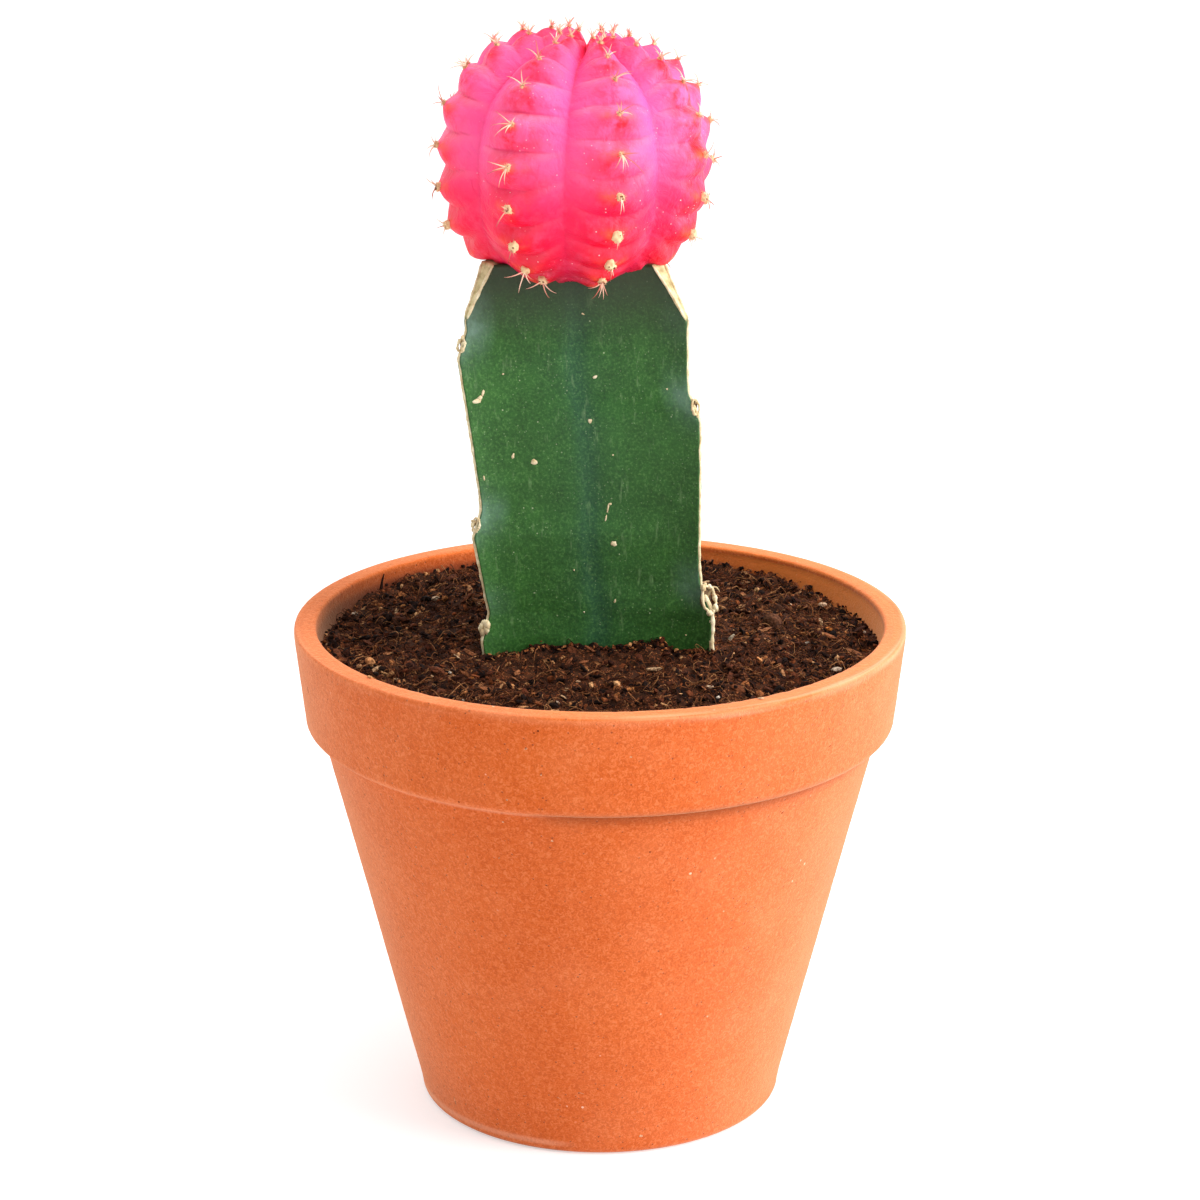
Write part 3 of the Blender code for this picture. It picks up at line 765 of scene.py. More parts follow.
def inner_radius(height, clearance=0.0):
    """Radius of the pot's inner wall, which runs parallel to the outside of its body."""
    return FOOT_RADIUS + BODY_SLOPE * height - WALL - clearance


def lip_arc(centre, radii):
    """Points over the lip from inside to outside, a little squarer at the outer edge."""
    points = []
    for i in range(LIP_STEPS + 1):
        angle = pi * (1 - i / LIP_STEPS)
        across, up = cos(angle), sin(angle)
        power = 2 / (LIP_INNER_SQUARENESS if across < 0 else LIP_OUTER_SQUARENESS)
        offset = copysign(abs(across) ** power, across)
        points.append((centre[0] + radii[0] * offset, centre[1] + radii[1] * abs(up) ** power))
    return points


def pot_profile():
    """Over the lip, down the outside, in under the foot, up the drain hole and out over the floor."""
    lip_z = POT_HEIGHT - LIP_HEIGHT
    lip_inner = inner_radius(lip_z)
    lip_centre = ((RIM_RADIUS + lip_inner) / 2, lip_z)
    lip_radii = ((RIM_RADIUS - lip_inner) / 2, LIP_HEIGHT)
    step = (BAND_LOW_RADIUS - BODY_TOP_RADIUS, BAND_LOW_Z - BODY_TOP_Z)
    foot_wall = FOOT_RADIUS + BODY_SLOPE * FOOT_ROUNDING
    floor_wall = inner_radius(FLOOR + FLOOR_FILLET)
    down = -pi / 2
    outside = lip_arc(lip_centre, lip_radii)
    outside += arc((BODY_TOP_RADIUS, BAND_LOW_Z), step, 0, down, 2 * CORNER_STEPS)
    outside += [(BODY_TOP_RADIUS - BODY_SLOPE * CREASE_WIDTH, BODY_TOP_Z - CREASE_WIDTH)]
    outside += arc((foot_wall - FOOT_ROUNDING, FOOT_ROUNDING), (FOOT_ROUNDING,) * 2, 0, down, CORNER_STEPS)
    inside = [(DRAIN_RADIUS, 0.0), (DRAIN_RADIUS, FLOOR)]
    corner = (floor_wall - FLOOR_FILLET, FLOOR + FLOOR_FILLET)
    inside += arc(corner, (FLOOR_FILLET,) * 2, down, -down, CORNER_STEPS)
    wall_low = (inner_radius(SOIL_EDGE_Z - SOIL_MOUND), SOIL_EDGE_Z - SOIL_MOUND)
    points = divided(outside, POT_STEP) + divided(inside + [wall_low], POT_HIDDEN_STEP)
    return points + divided([wall_low, outside[0]], POT_STEP)[1:-1]


def divided(points, step):
    """The same line of points, with more between those that lie further apart than step."""
    made = [points[0]]
    for start, end in zip(points, points[1:]):
        pieces = max(1, ceil(dist(start, end) / step))
        for i in range(1, pieces + 1):
            made.append((mix(start[0], end[0], i / pieces), mix(start[1], end[1], i / pieces)))
    return made


def pot_point(radius, height, angle):
    """A point of the pot's surface, which has turning rings, grain and a chipped inner edge."""
    place = level(angle) * radius + UP * height
    above_foot = smooth_step(*TRUE_FOOT_Z, height)
    stray = POT_WOBBLE * above_foot * (noise(place / POT_WOBBLE_SIZE) - 1)
    rings = noise(Vector((height / TURNING_SIZE, radius / TURNING_SIZE, angle * 1.5)))
    stray += TURNING * (rings - 1)
    stray += GRAIN * above_foot * (noise(place / GRAIN_SIZE) - 1)
    place += level(angle) * stray
    edge = hypot(radius - inner_radius(POT_HEIGHT), height - POT_HEIGHT)
    patchy = smooth_step(0.1, 0.5, noise(place.xy.to_3d() / CHIP_SPACING))
    place.z -= CHIP_DEPTH * (smooth_step(*CHIP_REACH, edge) * patchy)
    return place


def pot_tones(radius, height, angle):
    """At a place of the pot: shares of painted light, dust with painted haze, painted shadow and painted
    inner shade.
    """
    if radius < inner_radius(height) + WALL / 2 and height < POT_HEIGHT - LIP_HEIGHT / 2:
        # Inside: painted shade, darker towards the soil and on the left.
        painted_inner_shade = smooth_step(*INNER_SHADE_Z, height) * mix(0.15, 0.85, smooth_step(0.8, -0.8, cos(angle)))
        # Painted light on the inner wall at the right.
        return 0.9 * smooth_step(0.0, 0.9, cos(angle)), 0.0, 0.0, painted_inner_shade
    left = smooth_step(-0.08, -0.30, cos(angle))
    right = (0.5 + 0.5 * cos(angle - DUST_AND_HAZE_SIDE)) ** 4
    ring = 0.6 + 0.9 * noise(Vector((radius / DUST_SPACING, height / DUST_SPACING, 4 * angle)))
    crease = bell(height, BODY_TOP_Z - CREASE_WIDTH / 2, 0.8 * CREASE_WIDTH)
    edge = bell(radius, DUST_RADIUS, DUST_WIDTH) * smooth_step(*LIP_DUST_Z, height)
    # Painted highlight on the lip's top, weaker on the left.
    top = smooth_step(*LIP_HIGHLIGHT_Z, height)
    # Dust in the crease and along the foot on the left, and on the lip's edge, which towards the right is
    # partly painted highlight.
    dust_and_painted_haze = 0.50 * crease * left + edge * ring * (0.10 + 0.35 * right)
    dust_and_painted_haze += 0.35 * bell(height, FOOT_DUST_Z, DUST_WIDTH) * left
    # A painted haze of light on the right side.
    dust_and_painted_haze += 0.05 * right**2
    # Painted shadow under the band except on the left, and a painted shadow line along the foot's bottom edge
    # on the left.
    shade = sum(depth * bell(height, place, width) for depth, place, width in BAND_SHADES)
    painted_shade = shade * (1 - left) + 0.7 * bell(height, FOOT_SHADE_Z, DUST_WIDTH) * left
    return top * (0.14 + 0.26 * ring) * (1 - 0.6 * left), dust_and_painted_haze, painted_shade, 0.0


def pot_spot(step, angle):
    return pot_point(*step, angle), pot_tones(*step, angle)


def build_pot():
    angles = [tau * j / POT_COLUMNS for j in range(POT_COLUMNS)]
    tones = ("painted_light", "dust_and_painted_haze", "painted_shade", "painted_inner_shade")
    pot = add_skin("pot_body", pot_profile(), angles, pot_spot, tones, terracotta_material(), looped=True)
    finish_piece(pot, "terracotta", "pot")
    tree = surface_tree(pot)
    build_pot_grog(tree)
    return tree


def build_pot_grog(tree):
    """Grains of grog and short scratches that show in the fired clay."""
    heap = Heap()
    for i, (x, y, long, wide, tilt, shade) in enumerate(POT_MARKS):
        place = seat_at(tree, x, y, tilt) @ stretch(long * MM, wide * MM, GROG_RISE)
        add_bumpy_ball(heap, place, 0.35, 0.7, 1.3 * i, shade)
    material = grain_material("grog", (0.0, "7A2C12"), (0.25, "A04A22"), (0.6, "E0905E"), (1.0, "F2BE98"))
    heap.build("pot_grog", material, "terracotta", "pot")


# Rootstock.

def stem_axis(height):
    return Vector((STEM_LEAN * (height - STEM_LEVEL_Z), 0.0, height))


def rib_reach(rib, height):
    """How far a rib's edge is from the stem's axis."""
    stops = (*(z - CRENATION_DROP for z in RIB_AREOLES[rib]), STEM_FOOT_Z - CRENATION_RISE)
    index = next((i for i in range(1, len(stops)) if height >= stops[i]), len(stops) - 1)
    above, below = stops[index - 1], stops[index]
    fall = min(1.0, (above - height) / (above - below) / CRENATION_FALL)
    rise = min(1.0, max(0.0, 1 - (height - below) / CRENATION_RISE))
    return RIB_REACHES[rib] - CRENATION * fall * (1 - rise)


def stem_section(rib, along, height):
    """A point of the stem's face that runs from a rib to the next one. along goes from 0 to 1."""
    ends = []
    for index, side in ((rib, 1), ((rib + 1) % 3, -1)):
        outward = level(RIB_ANGLES[index])
        sideways = level(RIB_ANGLES[index] + pi / 2)
        ends.append(outward * rib_reach(index, height) + sideways * side * MARGIN_WIDTH / 2)
    inward = -(ends[0] + ends[1]).normalized()
    sag = FACE_SAG * (1 - abs(2 * along - 1) ** SAG_SHARPNESS) + GROOVE_DEPTH * bell(along, 0.5, GROOVE_WIDTH)
    return ends[0].lerp(ends[1], along) + inward * sag


def bevel_reach(height):
    """How far the slice over a rib's shoulder is from the axis at a height."""
    share = (height - BEVEL_LOW_Z) / (STEM_TOP_Z - BEVEL_LOW_Z)
    return mix(BEVEL_LOW_REACH, BEVEL_TOP_REACH, share)


def stem_columns():
    """(rib, along) of each column of points round the stem, closer together towards the ribs."""
    columns = []
    for rib in range(3):
        shares = evenly(0, 1, STEM_FACE_COLUMNS)
        columns += [(rib, t - STEM_CROWDING * sin(tau * t) / tau) for t in shares]
        columns += [(rib, 1 + (i + 1) / STEM_MARGIN_COLUMNS) for i in range(STEM_MARGIN_COLUMNS - 1)]
    return columns


def stem_point(rib, along, height):
    """A point of the stem's skin, and how far the shoulder's slice cuts in there."""
    if along <= 1:
        point = stem_section(rib, along, height)
    else:
        point = stem_section(rib, 1.0, height).lerp(stem_section((rib + 1) % 3, 0.0, height), along - 1)
    depth = 0.0
    for angle in RIB_ANGLES:
        extra = point.dot(level(angle)) - bevel_reach(height)
        if extra > 0:
            point -= level(angle) * extra
            depth = max(depth, extra)
    place = point + stem_axis(height)
    ripple = SKIN_WAVE * (noise(place / SKIN_WAVE_SIZE) - 1)
    return place + point.normalized() * ripple, depth


def stem_bloom(rib, along, height):
    """Share of the pale bloom round the ribs' areoles and along the shoulders, the left one most."""
    nearest = (rib + round(along)) % 3
    edge = max(0.0, 1 - min(along, abs(1 - along)) / 0.14)
    areole = max(bell(height, z + BLOOM_RISE, BLOOM_SPREAD) for z in RIB_AREOLES[nearest])
    shoulder = smooth_step(*SHOULDER_BLOOM_Z, height) * (1.0 if nearest == 2 else 0.35)
    return min(1.0, edge * (0.45 * areole * smooth_step(*BLOOM_FOOT_Z, height) + 0.7 * shoulder))


def stem_spot(height, column):
    """A point of the stem's skin and its tones."""
    rib, along = column
    place, depth = stem_point(rib, along, height)
    # Painted shade along each face's central groove.
    painted_groove_shade = min(1.0, bell(along, 0.5, GROOVE_WIDTH) + 0.35 * bell(along, 0.5, 0.16))
    # Painted shadow near the stem's top, under the ball.
    painted_shadow = 0.9 * smooth_step(*BALL_SHADOW_Z, height)
    return place, (painted_groove_shade, smooth_step(0.0, CUT_SOFTNESS, depth), stem_bloom(rib, along, height), painted_shadow)


def build_stem_body():
    rows = ceil((STEM_TOP_Z - STEM_FOOT_Z) / STEM_ROW)
    heights = evenly(STEM_TOP_Z, STEM_FOOT_Z, rows)
    tones = ("painted_groove_shade", "cut", "bloom", "painted_shadow")
    body = add_skin("stem_body", heights, stem_columns(), stem_spot, tones, stem_material())
    finish_piece(body, "stem_green", "rootstock")
    return body


def bevel_foot(rib):
    """The height at which the slice over a rib's shoulder leaves the rib's edge."""
    return halved(BEVEL_LOW_Z - CUT_SEARCH, STEM_TOP_Z, lambda z: rib_reach(rib, z) < bevel_reach(z))


def cut_edge(rib, side, height):
    """A point of the slice's border on one side of a rib."""
    face, start, end = (rib, 0.0, 0.4) if side > 0 else ((rib + 2) % 3, 1.0, 0.6)
    outward = level(RIB_ANGLES[rib])
    reach = bevel_reach(height)
    along = halved(start, end, lambda a: stem_section(face, a, height).dot(outward) > reach)
    return stem_point(face, along, height)[0]


def margin_path(rib):
    """Points down a rib's edge, from the foot of its shoulder's slice into the soil."""
    points = []
    high = bevel_foot(rib)
    count = ceil((high - MARGIN_END_Z) / MARGIN_STEP)
    sideways = level(RIB_ANGLES[rib] + pi / 2)
    for height in evenly(high, MARGIN_END_Z, count):
        waver = MARGIN_WAVER * noise(Vector((height * MARGIN_WAVES, rib * 7.0, 0.0)))
        outward = level(RIB_ANGLES[rib]) * (rib_reach(rib, height) - MARGIN_SINK)
        points.append(stem_axis(height) + outward + sideways * waver)
    return points


def waved_radii(path, radius, seed):
    """Radii along a corky ridge, thicker and thinner by turns, and pointed at its ends."""
    radii = []
    for i, point in enumerate(path):
        ends = min(1.0, 0.35 + 0.3 * min(i, len(path) - 1 - i))
        radii.append(radius * ends * (1 + 0.55 * noise(Vector((point.z * MARGIN_LUMPS, seed, 3.0)))))
    return radii


def build_stem_margins(heap):
    """Corky ridges down the ribs' edges and round the borders of the shoulders' slices."""
    for rib in range(3):
        path = margin_path(rib)
        radii = waved_radii(path, MARGIN_RADIUS, 5.0 * rib)
        if rib == 0:
            start, end = (RIB_AREOLES[0][2] + step for step in THICK_MARGIN_FROM)
            wider = [mix(1.0, THICK_MARGIN, smooth_step(start, end, p.z)) for p in path]
            radii = [radius * share for radius, share in zip(radii, wider)]
        shades = [0.35 * max(0.0, noise(p * MARGIN_STAINS)) for p in path for _ in range(8)]
        add_tube(heap, path, radii, 8, shades)
        foot = bevel_foot(rib)
        for side in (-1, 1):
            count = ceil((STEM_TOP_Z - foot) / MARGIN_STEP)
            heights = evenly(STEM_TOP_Z, foot + CUT_EDGE_START, count)
            edge = [cut_edge(rib, side, height) for height in heights]
            add_tube(heap, edge, waved_radii(edge, CUT_EDGE_RADIUS, 11.0 * rib + side), 6, 0.0)


def knot_place(rib, height):
    """A knot's matrix: X to the right as it is seen, Y up, and Z out from the stem and partly forward."""
    front = 0.0 if rib == 1 else 0.75
    outward = (level(RIB_ANGLES[rib]) + Vector((0, -front, 0))).normalized()
    centre = stem_axis(height) + level(RIB_ANGLES[rib]) * (rib_reach(rib, height) - KNOT_SINK)
    return Matrix.Translation(centre) @ axes(UP.cross(outward), UP, outward)


def add_knot(heap, draw, place, wide, tall, thick):
    """A ring with lumps on it round a dark core. It leans out towards its lower side."""
    seed = draw.uniform(0, 50)
    path, radii = [], []
    for i in range(KNOT_STEPS + 1):
        angle = tau * i / (KNOT_STEPS - 1)
        waver = noise(level(angle) * 1.3 + Vector((seed, 0, 0)))
        lean = 0.3 * tall * (1 - sin(angle))
        ring = Vector((wide * cos(angle), tall * sin(angle), lean)) * (1 + 0.25 * waver)
        path.append(place @ ring)
        radii.append(0.55 * thick * (1 + 0.6 * noise(level(angle) * 2.1 + Vector((0, seed, 0)))))
    add_tube(heap, path, radii, 8, 0.12)
    for _ in range(KNOT_LUMPS):
        size = thick * draw.uniform(0.5, 1.1)
        lump = Matrix.Translation(draw.choice(path)) @ stretch(size, size, size * draw.uniform(1.0, 1.7))
        add_bumpy_ball(heap, lump, 0.5, 0.5, draw.uniform(0, 50), draw.uniform(0.0, 0.65) ** 3)
    core = place @ Matrix.Translation(UP * (-0.6 * thick)) @ stretch(0.9 * wide, 0.9 * tall, 0.9 * thick)
    add_bumpy_ball(heap, core, 0.2, 0.6, draw.uniform(0, 50), 0.9)


def build_stem_knots(heap):
    """Corky areoles on the ribs' edges, two of them with a curled spine."""
    draw = random.Random(31)
    for rib, heights in enumerate(RIB_AREOLES):
        for height, sizes in zip(heights[1:], KNOTS[rib]):
            add_knot(heap, draw, knot_place(rib, height), *sizes)
    for rib, knot, steps in KNOT_HOOKS:
        place = knot_place(rib, RIB_AREOLES[rib][knot + 1])
        path = [place.translation + Vector(step) * MM for step in steps]
        add_tube(heap, path, HOOK_RADII, 6, 0.25)


def build_stem_scars(heap, tree):
    """Corky scars on the stem's front face."""
    for i, (x, y, wide, tall, tilt) in enumerate(SCARS):
        place = seat_at(tree, x, y, tilt) @ stretch(wide * MM, tall * MM, SCAR_RISE)
        add_bumpy_ball(heap, place, 0.45, 0.5, 2.1 * i, 0.12)


def build_stem():
    body = build_stem_body()
    heap = Heap()
    build_stem_margins(heap)
    build_stem_knots(heap)
    build_stem_scars(heap, surface_tree(body))
    heap.build("stem_margins", cork_material(), "stem_green", "rootstock")


# Soil.

def soil_height(x, y):
    """The soil is mounded round the stem and lumpy all over."""
    away = min(1.0, hypot(x, y) / inner_radius(SOIL_EDGE_Z))
    place = Vector((x, y, 0.0)) / SOIL_LUMP_SIZE
    lumps = noise(place) + SOIL_FINE_SHARE * noise(SOIL_FINENESS * place)
    return SOIL_EDGE_Z + SOIL_MOUND * (1 - away**2) + SOIL_LUMP * lumps


def stem_outline(turn):
    """A point of the stem's outline at the soil. turn gains 1 over each face."""
    rib = int(turn) % 3
    return stem_section(rib, turn - int(turn), SOIL_EDGE_Z) + stem_axis(SOIL_EDGE_Z)


def spoke(turn, radius):
    """The level point at a radius, in the direction of a turn."""
    return level(RIB_ANGLES[0] + turn * tau / 3) * radius


def pile_rise(turn):
    """How high crumbs lie against the stem."""
    return PILE_RISE + sum(rise * bell(turn % 3, place, width) for place, rise, width in PILE_PEAKS)


def back_rise(angle):
    """How far the soil climbs the pot's wall at the back."""
    return BACK_RISE * smooth_step(0.2, 0.8, sin(angle) - 0.15 * cos(angle))


def soil_row(share):
    """Points round the soil's top. share goes from 0 at the stem to 1 at the pot's wall."""
    row = []
    for j in range(SOIL_COLUMNS):
        turn = 3 * j / SOIL_COLUMNS
        inner = stem_outline(turn)
        outer = spoke(turn, inner_radius(SOIL_EDGE_Z, GAP))
        point = inner.lerp(outer, share)
        point.z = soil_height(point.x, point.y)
        point.z += CRUMBLE * fractal(Vector((point.x, point.y, 0.3)) / CRUMBLE_SIZE, 0.7, 2.1, 4)
        point.z += 0.7 * pile_rise(turn) * bell(share * (outer - inner).length, 0.0, PILE_SPREAD)
        point.z += back_rise(atan2(point.y, point.x)) * bell((outer - point).xy.length, 0.0, BACK_SPREAD)
        room = inner_radius(point.z, GAP)
        reach = hypot(point.x, point.y)
        if reach > room:
            point.xy *= room / reach
        row.append(point)
    return row


def build_soil_bed():
    rows = [soil_row(share) for share in evenly(0, 1, SOIL_ROWS)]
    hole = [Vector((p.x, p.y, STEM_FOOT_Z - GAP)) for p in rows[0]]
    low_z = FLOOR + GAP
    low_wall = inner_radius(low_z + FLOOR_FILLET, GAP)
    corner = (low_wall - FLOOR_FILLET, low_z + FLOOR_FILLET)
    all_rows = [hole] + rows
    for radius, height in arc(corner, (FLOOR_FILLET,) * 2, 0, -pi / 2, CORNER_STEPS):
        all_rows.append([level(atan2(p.y, p.x)) * radius + UP * height for p in rows[-1]])
    shade = [0.25 + 0.3 * noise(p / MOTTLE_SIZE) for row in all_rows for p in row]
    material = grain_material("soil_dark", (0.0, "482616"), (0.5, "AC6840"), (1.0, "F0BC90"), flaky=True)
    bed = add_surface("soil_bed", all_rows, {"shade": shade}, material)
    finish_piece(bed, "potting_mix", "soil")
    return surface_tree(bed)


def ground(tree, point):
    """The point of a surface right below or above a point."""
    return tree.ray_cast(Vector((point.x, point.y, DROP_Z)), -UP)[0] or point


def soil_spot(draw, tree, margin):
    """A random place on the soil's top, at least a margin from the pot's wall and outside the stem."""
    share = sqrt(draw.uniform(0.0, 1.0))
    turn = draw.uniform(0, 3)
    point = stem_outline(turn).lerp(spoke(turn, inner_radius(SOIL_EDGE_Z) - margin), share)
    point.z = soil_height(point.x, point.y)
    return ground(tree, point)


def tumbled(draw, point, sizes, tilt):
    """A matrix at a point, turned at random about Z, tilted a little and stretched."""
    turn = Matrix.Rotation(draw.uniform(0, tau), 4, "Z")
    pitch = Matrix.Rotation(draw.uniform(-tilt, tilt), 4, "X")
    roll = Matrix.Rotation(draw.uniform(-tilt, tilt), 4, "Y")
    return Matrix.Translation(point) @ turn @ (pitch @ roll) @ stretch(*sizes)


def add_crumb(heap, draw, point, size):
    sizes = (size, size * draw.uniform(0.35, 0.85), size * draw.uniform(0.25, 0.6))
    shade = draw.random() ** mix(1.4, 4.5, min(1.0, size / CRUMB_SIZE[1]))
    add_lump(heap, draw, tumbled(draw, point, sizes, 0.9), 0.40, shade)


def build_soil_crumbs(tree):
    """Crumbs over the bed, up the pot's wall and against the stem."""
    heap = Heap()
    draw = random.Random(41)
    for _ in range(CRUMB_COUNT):
        size = mix(*CRUMB_SIZE, draw.random() ** CRUMB_RARITY)
        point = soil_spot(draw, tree, size * 1.2)
        add_crumb(heap, draw, point + UP * (size * draw.uniform(-0.2, 0.7)), size)
    for _ in range(WALL_CRUMB_COUNT):
        angle = draw.uniform(0, tau)
        size = mix(*WALL_CRUMB_SIZE, draw.random() ** 2)
        height = SOIL_EDGE_Z + back_rise(angle) + WALL_CRUMB_RISE * draw.random() ** 3
        height += WALL_LINE_WAVE * noise(level(angle) * 4)
        add_crumb(heap, draw, level(angle) * inner_radius(height, size * 0.7) + UP * height, size)
    for _ in range(PILE_COUNT):
        turn = draw.uniform(0, 3) if draw.random() < 0.4 else draw.uniform(2, 3)
        size = draw.uniform(*PILE_CRUMB_SIZE)
        rise = draw.random()
        inner = stem_outline(turn)
        away = (spoke(turn, RIM_RADIUS) - inner).xy.to_3d().normalized()
        point = inner + away * (size * 0.7 + (1 - rise) * PILE_SPREAD)
        point.z = ground(tree, point).z + rise * 0.5 * pile_rise(turn)
        add_crumb(heap, draw, point, size)
    stops = (0.0, "1C0C07"), (0.35, "60301B"), (0.62, "9A5630"), (0.86, "CA8650"), (1.0, "EEBC88")
    material = grain_material("soil_crumb", *stops)
    return surface_tree(heap.build("soil_crumbs", material, "potting_mix", "soil", smooth=False))


def build_soil_fibres(tree):
    """Fine curled fibres that lie on the bed and arch over it."""
    heap = Heap()
    draw = random.Random(43)
    for _ in range(FIBRE_COUNT):
        length = mix(*FIBRE_LENGTH, draw.random() ** 1.8)
        point = soil_spot(draw, tree, FIBRE_MARGIN)
        heading = draw.uniform(0, tau)
        curl = draw.gauss(0, 0.8)
        climb = draw.uniform(0.0, 0.35)
        path = []
        for i in range(FIBRE_STEPS + 1):
            arch = sin(pi * i / FIBRE_STEPS)
            path.append(ground(tree, point) + UP * (FIBRE_LIFT + climb * length * arch))
            heading += curl * (0.4 + i / FIBRE_STEPS)
            point = point + level(heading) * length / FIBRE_STEPS
        radius = draw.uniform(*FIBRE_RADIUS)
        radii = [radius * share for share in evenly(1.0, 0.5, FIBRE_STEPS)]
        add_tube(heap, path, radii, 3, draw.random() ** 1.3)
    stops = (0.0, "30160C"), (0.4, "6A3820"), (0.75, "98603A"), (1.0, "C89060")
    heap.build("soil_fibres", grain_material("soil_fibre", *stops), "potting_mix", "soil")


def build_soil_chips(tree):
    heap = Heap()
    draw = random.Random(47)
    for _ in range(CHIP_COUNT):
        size = mix(*CHIP_SIZE, draw.random() ** 2)
        point = soil_spot(draw, tree, size * 1.2) + UP * (size * draw.uniform(0.0, 0.5))
        sizes = (size, size * draw.uniform(0.2, 0.6), size * draw.uniform(0.12, 0.3))
        add_lump(heap, draw, tumbled(draw, point, sizes, 0.7), 0.22, draw.random() ** 1.2)
    stops = (0.0, "3A1C12"), (0.4, "703E26"), (0.7, "A06440"), (0.92, "C48E62"), (1.0, "DDBB94")
    heap.build("soil_chips", grain_material("soil_chip", *stops), "potting_mix", "soil", smooth=False)


def top_spot(trees, x, y):
    """The point nearest to the camera where the sight line through a pixel meets one of the surfaces."""
    hits = [sight(x, y, tree) for tree in trees]
    return min((hit for hit in hits if hit[0]), key=lambda hit: hit[3])[0]


def build_soil_grit(trees):
    """Stones, bark and pale slivers that the photograph shows one by one."""
    heap = Heap()
    draw = random.Random(49)
    right, up = Vector((1, 0, 0)), Vector((0, -0.35, 0.94))
    facing = axes(right, up, right.cross(up))
    for x, y, long, wide, tilt, shade in SOIL_BITS:
        point = top_spot(trees, x, y) + up * 0.2 * (long + wide) * MM
        turned = facing @ Matrix.Rotation(radians(tilt), 4, "Z")
        sizes = (long * MM, wide * MM, (long + wide) / 2 * 0.7 * MM)
        place = Matrix.Translation(point) @ turned @ stretch(*sizes)
        add_lump(heap, draw, place, 0.10, shade, MIDDLE_BALL)
    for radius, line in LONG_BITS:
        path = [top_spot(trees, x, y) + UP * LONG_BIT_LIFT for x, y in line]
        radii = [radius * share for share in evenly(1.0, 0.3, len(path) - 1)]
        add_tube(heap, path, radii, 6, 0.0)
    bark = (0.0, "2A160E"), (0.1, "6A4430"), (0.3, "9C4426"), (0.5, "F0964A")
    material = grain_material("grit", *bark, (0.7, "D4A67A"), (0.85, "E4CAB0"), (1.0, "FFF4E4"))
    heap.build("soil_grit", material, "potting_mix", "soil", smooth=False)


def build_soil(wall):
    bed = build_soil_bed()
    crumbs = build_soil_crumbs(bed)
    build_soil_fibres(bed)
    build_soil_chips(bed)
    build_soil_grit((wall, bed, crumbs))


# Scion.

def pitches_down(colatitude):
    """How many areole pitches lie between the crown and a colatitude."""
    crowding = AREOLE_CROWDING * sin(2 * colatitude) / tau
    return AREOLE_PITCHES * (colatitude / pi + crowding)


def colatitude_at(pitches):
    """The colatitude that lies this many areole pitches from the crown."""
    return halved(0.0, pi, lambda colatitude: pitches_down(colatitude) < pitches)


def envelope(azimuth, colatitude):
    """Distance from the ball's centre to its skin, before ribs and tubercles."""
    out, up = sin(colatitude), cos(colatitude)
    wide = abs(out / SCION_RADIUS) ** SCION_SQUARENESS
    tall = abs(up / SCION_HALF_HEIGHT) ** SCION_SQUARENESS
    skew = 1 - 2 * SCION_SKEW * cos(azimuth) * out * max(0.0, up)
    return skew * (wide + tall) ** (-1 / SCION_SQUARENESS)


def ball_ribbing(azimuth, colatitude):
    """How far across its rib a place lies, 1 at the crest, and its phase down the rib, 0 at an areole."""
    turn = ((azimuth - FIRST_FURROW) / tau * RIB_COUNT) % RIB_COUNT
    start = AREOLE_STARTS[int(turn + 1e-9) % RIB_COUNT]
    across = sin(pi * (turn % 1.0))
    waver = DRAPE_WAVER * noise(Vector((azimuth * 4.0, colatitude * 5.0, 2.0)))
    drape = (DRAPE_SLOPE * (colatitude - DRAPE_LEVEL) + waver) * (1 - across)
    return across, pitches_down(colatitude) + drape - start


def ball_point(azimuth, colatitude):
    """A point of the ball's skin. azimuth is about Z from +X, and colatitude is down from the crown."""
    across, phase = ball_ribbing(azimuth, colatitude)
    crown = max(0.0, 1 - colatitude / CROWN_SPAN)
    base = min(1.0, max(0.0, colatitude - BASE_FROM) / BASE_SPAN)
    depth = FURROW_DEPTH + (CROWN_FURROW_DEPTH - FURROW_DEPTH) * crown
    depth -= (FURROW_DEPTH - BASE_FURROW_DEPTH) * base
    wave = 2 * hypot(cos(pi * (phase - TUBERCLE_PEAK)), NOTCH_SOFTNESS) - 1
    soft = hypot(across, FURROW_SOFTNESS) / hypot(1, FURROW_SOFTNESS)
    spread = across ** mix(*TUBERCLE_REACH, smooth_step(0.6, 1.3, colatitude))
    height = TUBERCLE * mix(CROWN_TUBERCLE, 1.0, smooth_step(0.35, 0.9, colatitude))
    reach = envelope(azimuth, colatitude)
    reach *= 1 - depth * (1 - soft**FURROW_SHAPE)
    reach *= 1 + height * wave * spread * min(1.0, pitches_down(colatitude))
    reach *= 1 - DIMPLE * max(0.0, 1 - colatitude / DIMPLE_SPAN) ** 2
    tip = mix(0.3, 1.0, smooth_step(0.5, 1.1, colatitude)) * smooth_step(2.35, 2.1, colatitude)
    reach += TIP_RISE * tip * bell((phase + 0.5) % 1.0, 0.5, TIP_SIZE) * across**14
    reach += CREST_RIDGE * bell(acos(min(1.0, across)) / pi, 0.0, CREST_WIDTH)
    shift = CROWN_SHIFT * ((1 + cos(colatitude)) / 2) ** 3
    outward = level(azimuth) * sin(colatitude) + UP * cos(colatitude)
    reach += BALL_WAVE * noise(outward * SCION_RADIUS / BALL_WAVE_SIZE)
    reach += FOLD_DEPTH * (1 - across**4) * noise(Vector((2.5 * azimuth, 7 * phase, 0.0)))
    return SCION_CENTRE + outward * reach + Vector((shift, 0, 0))


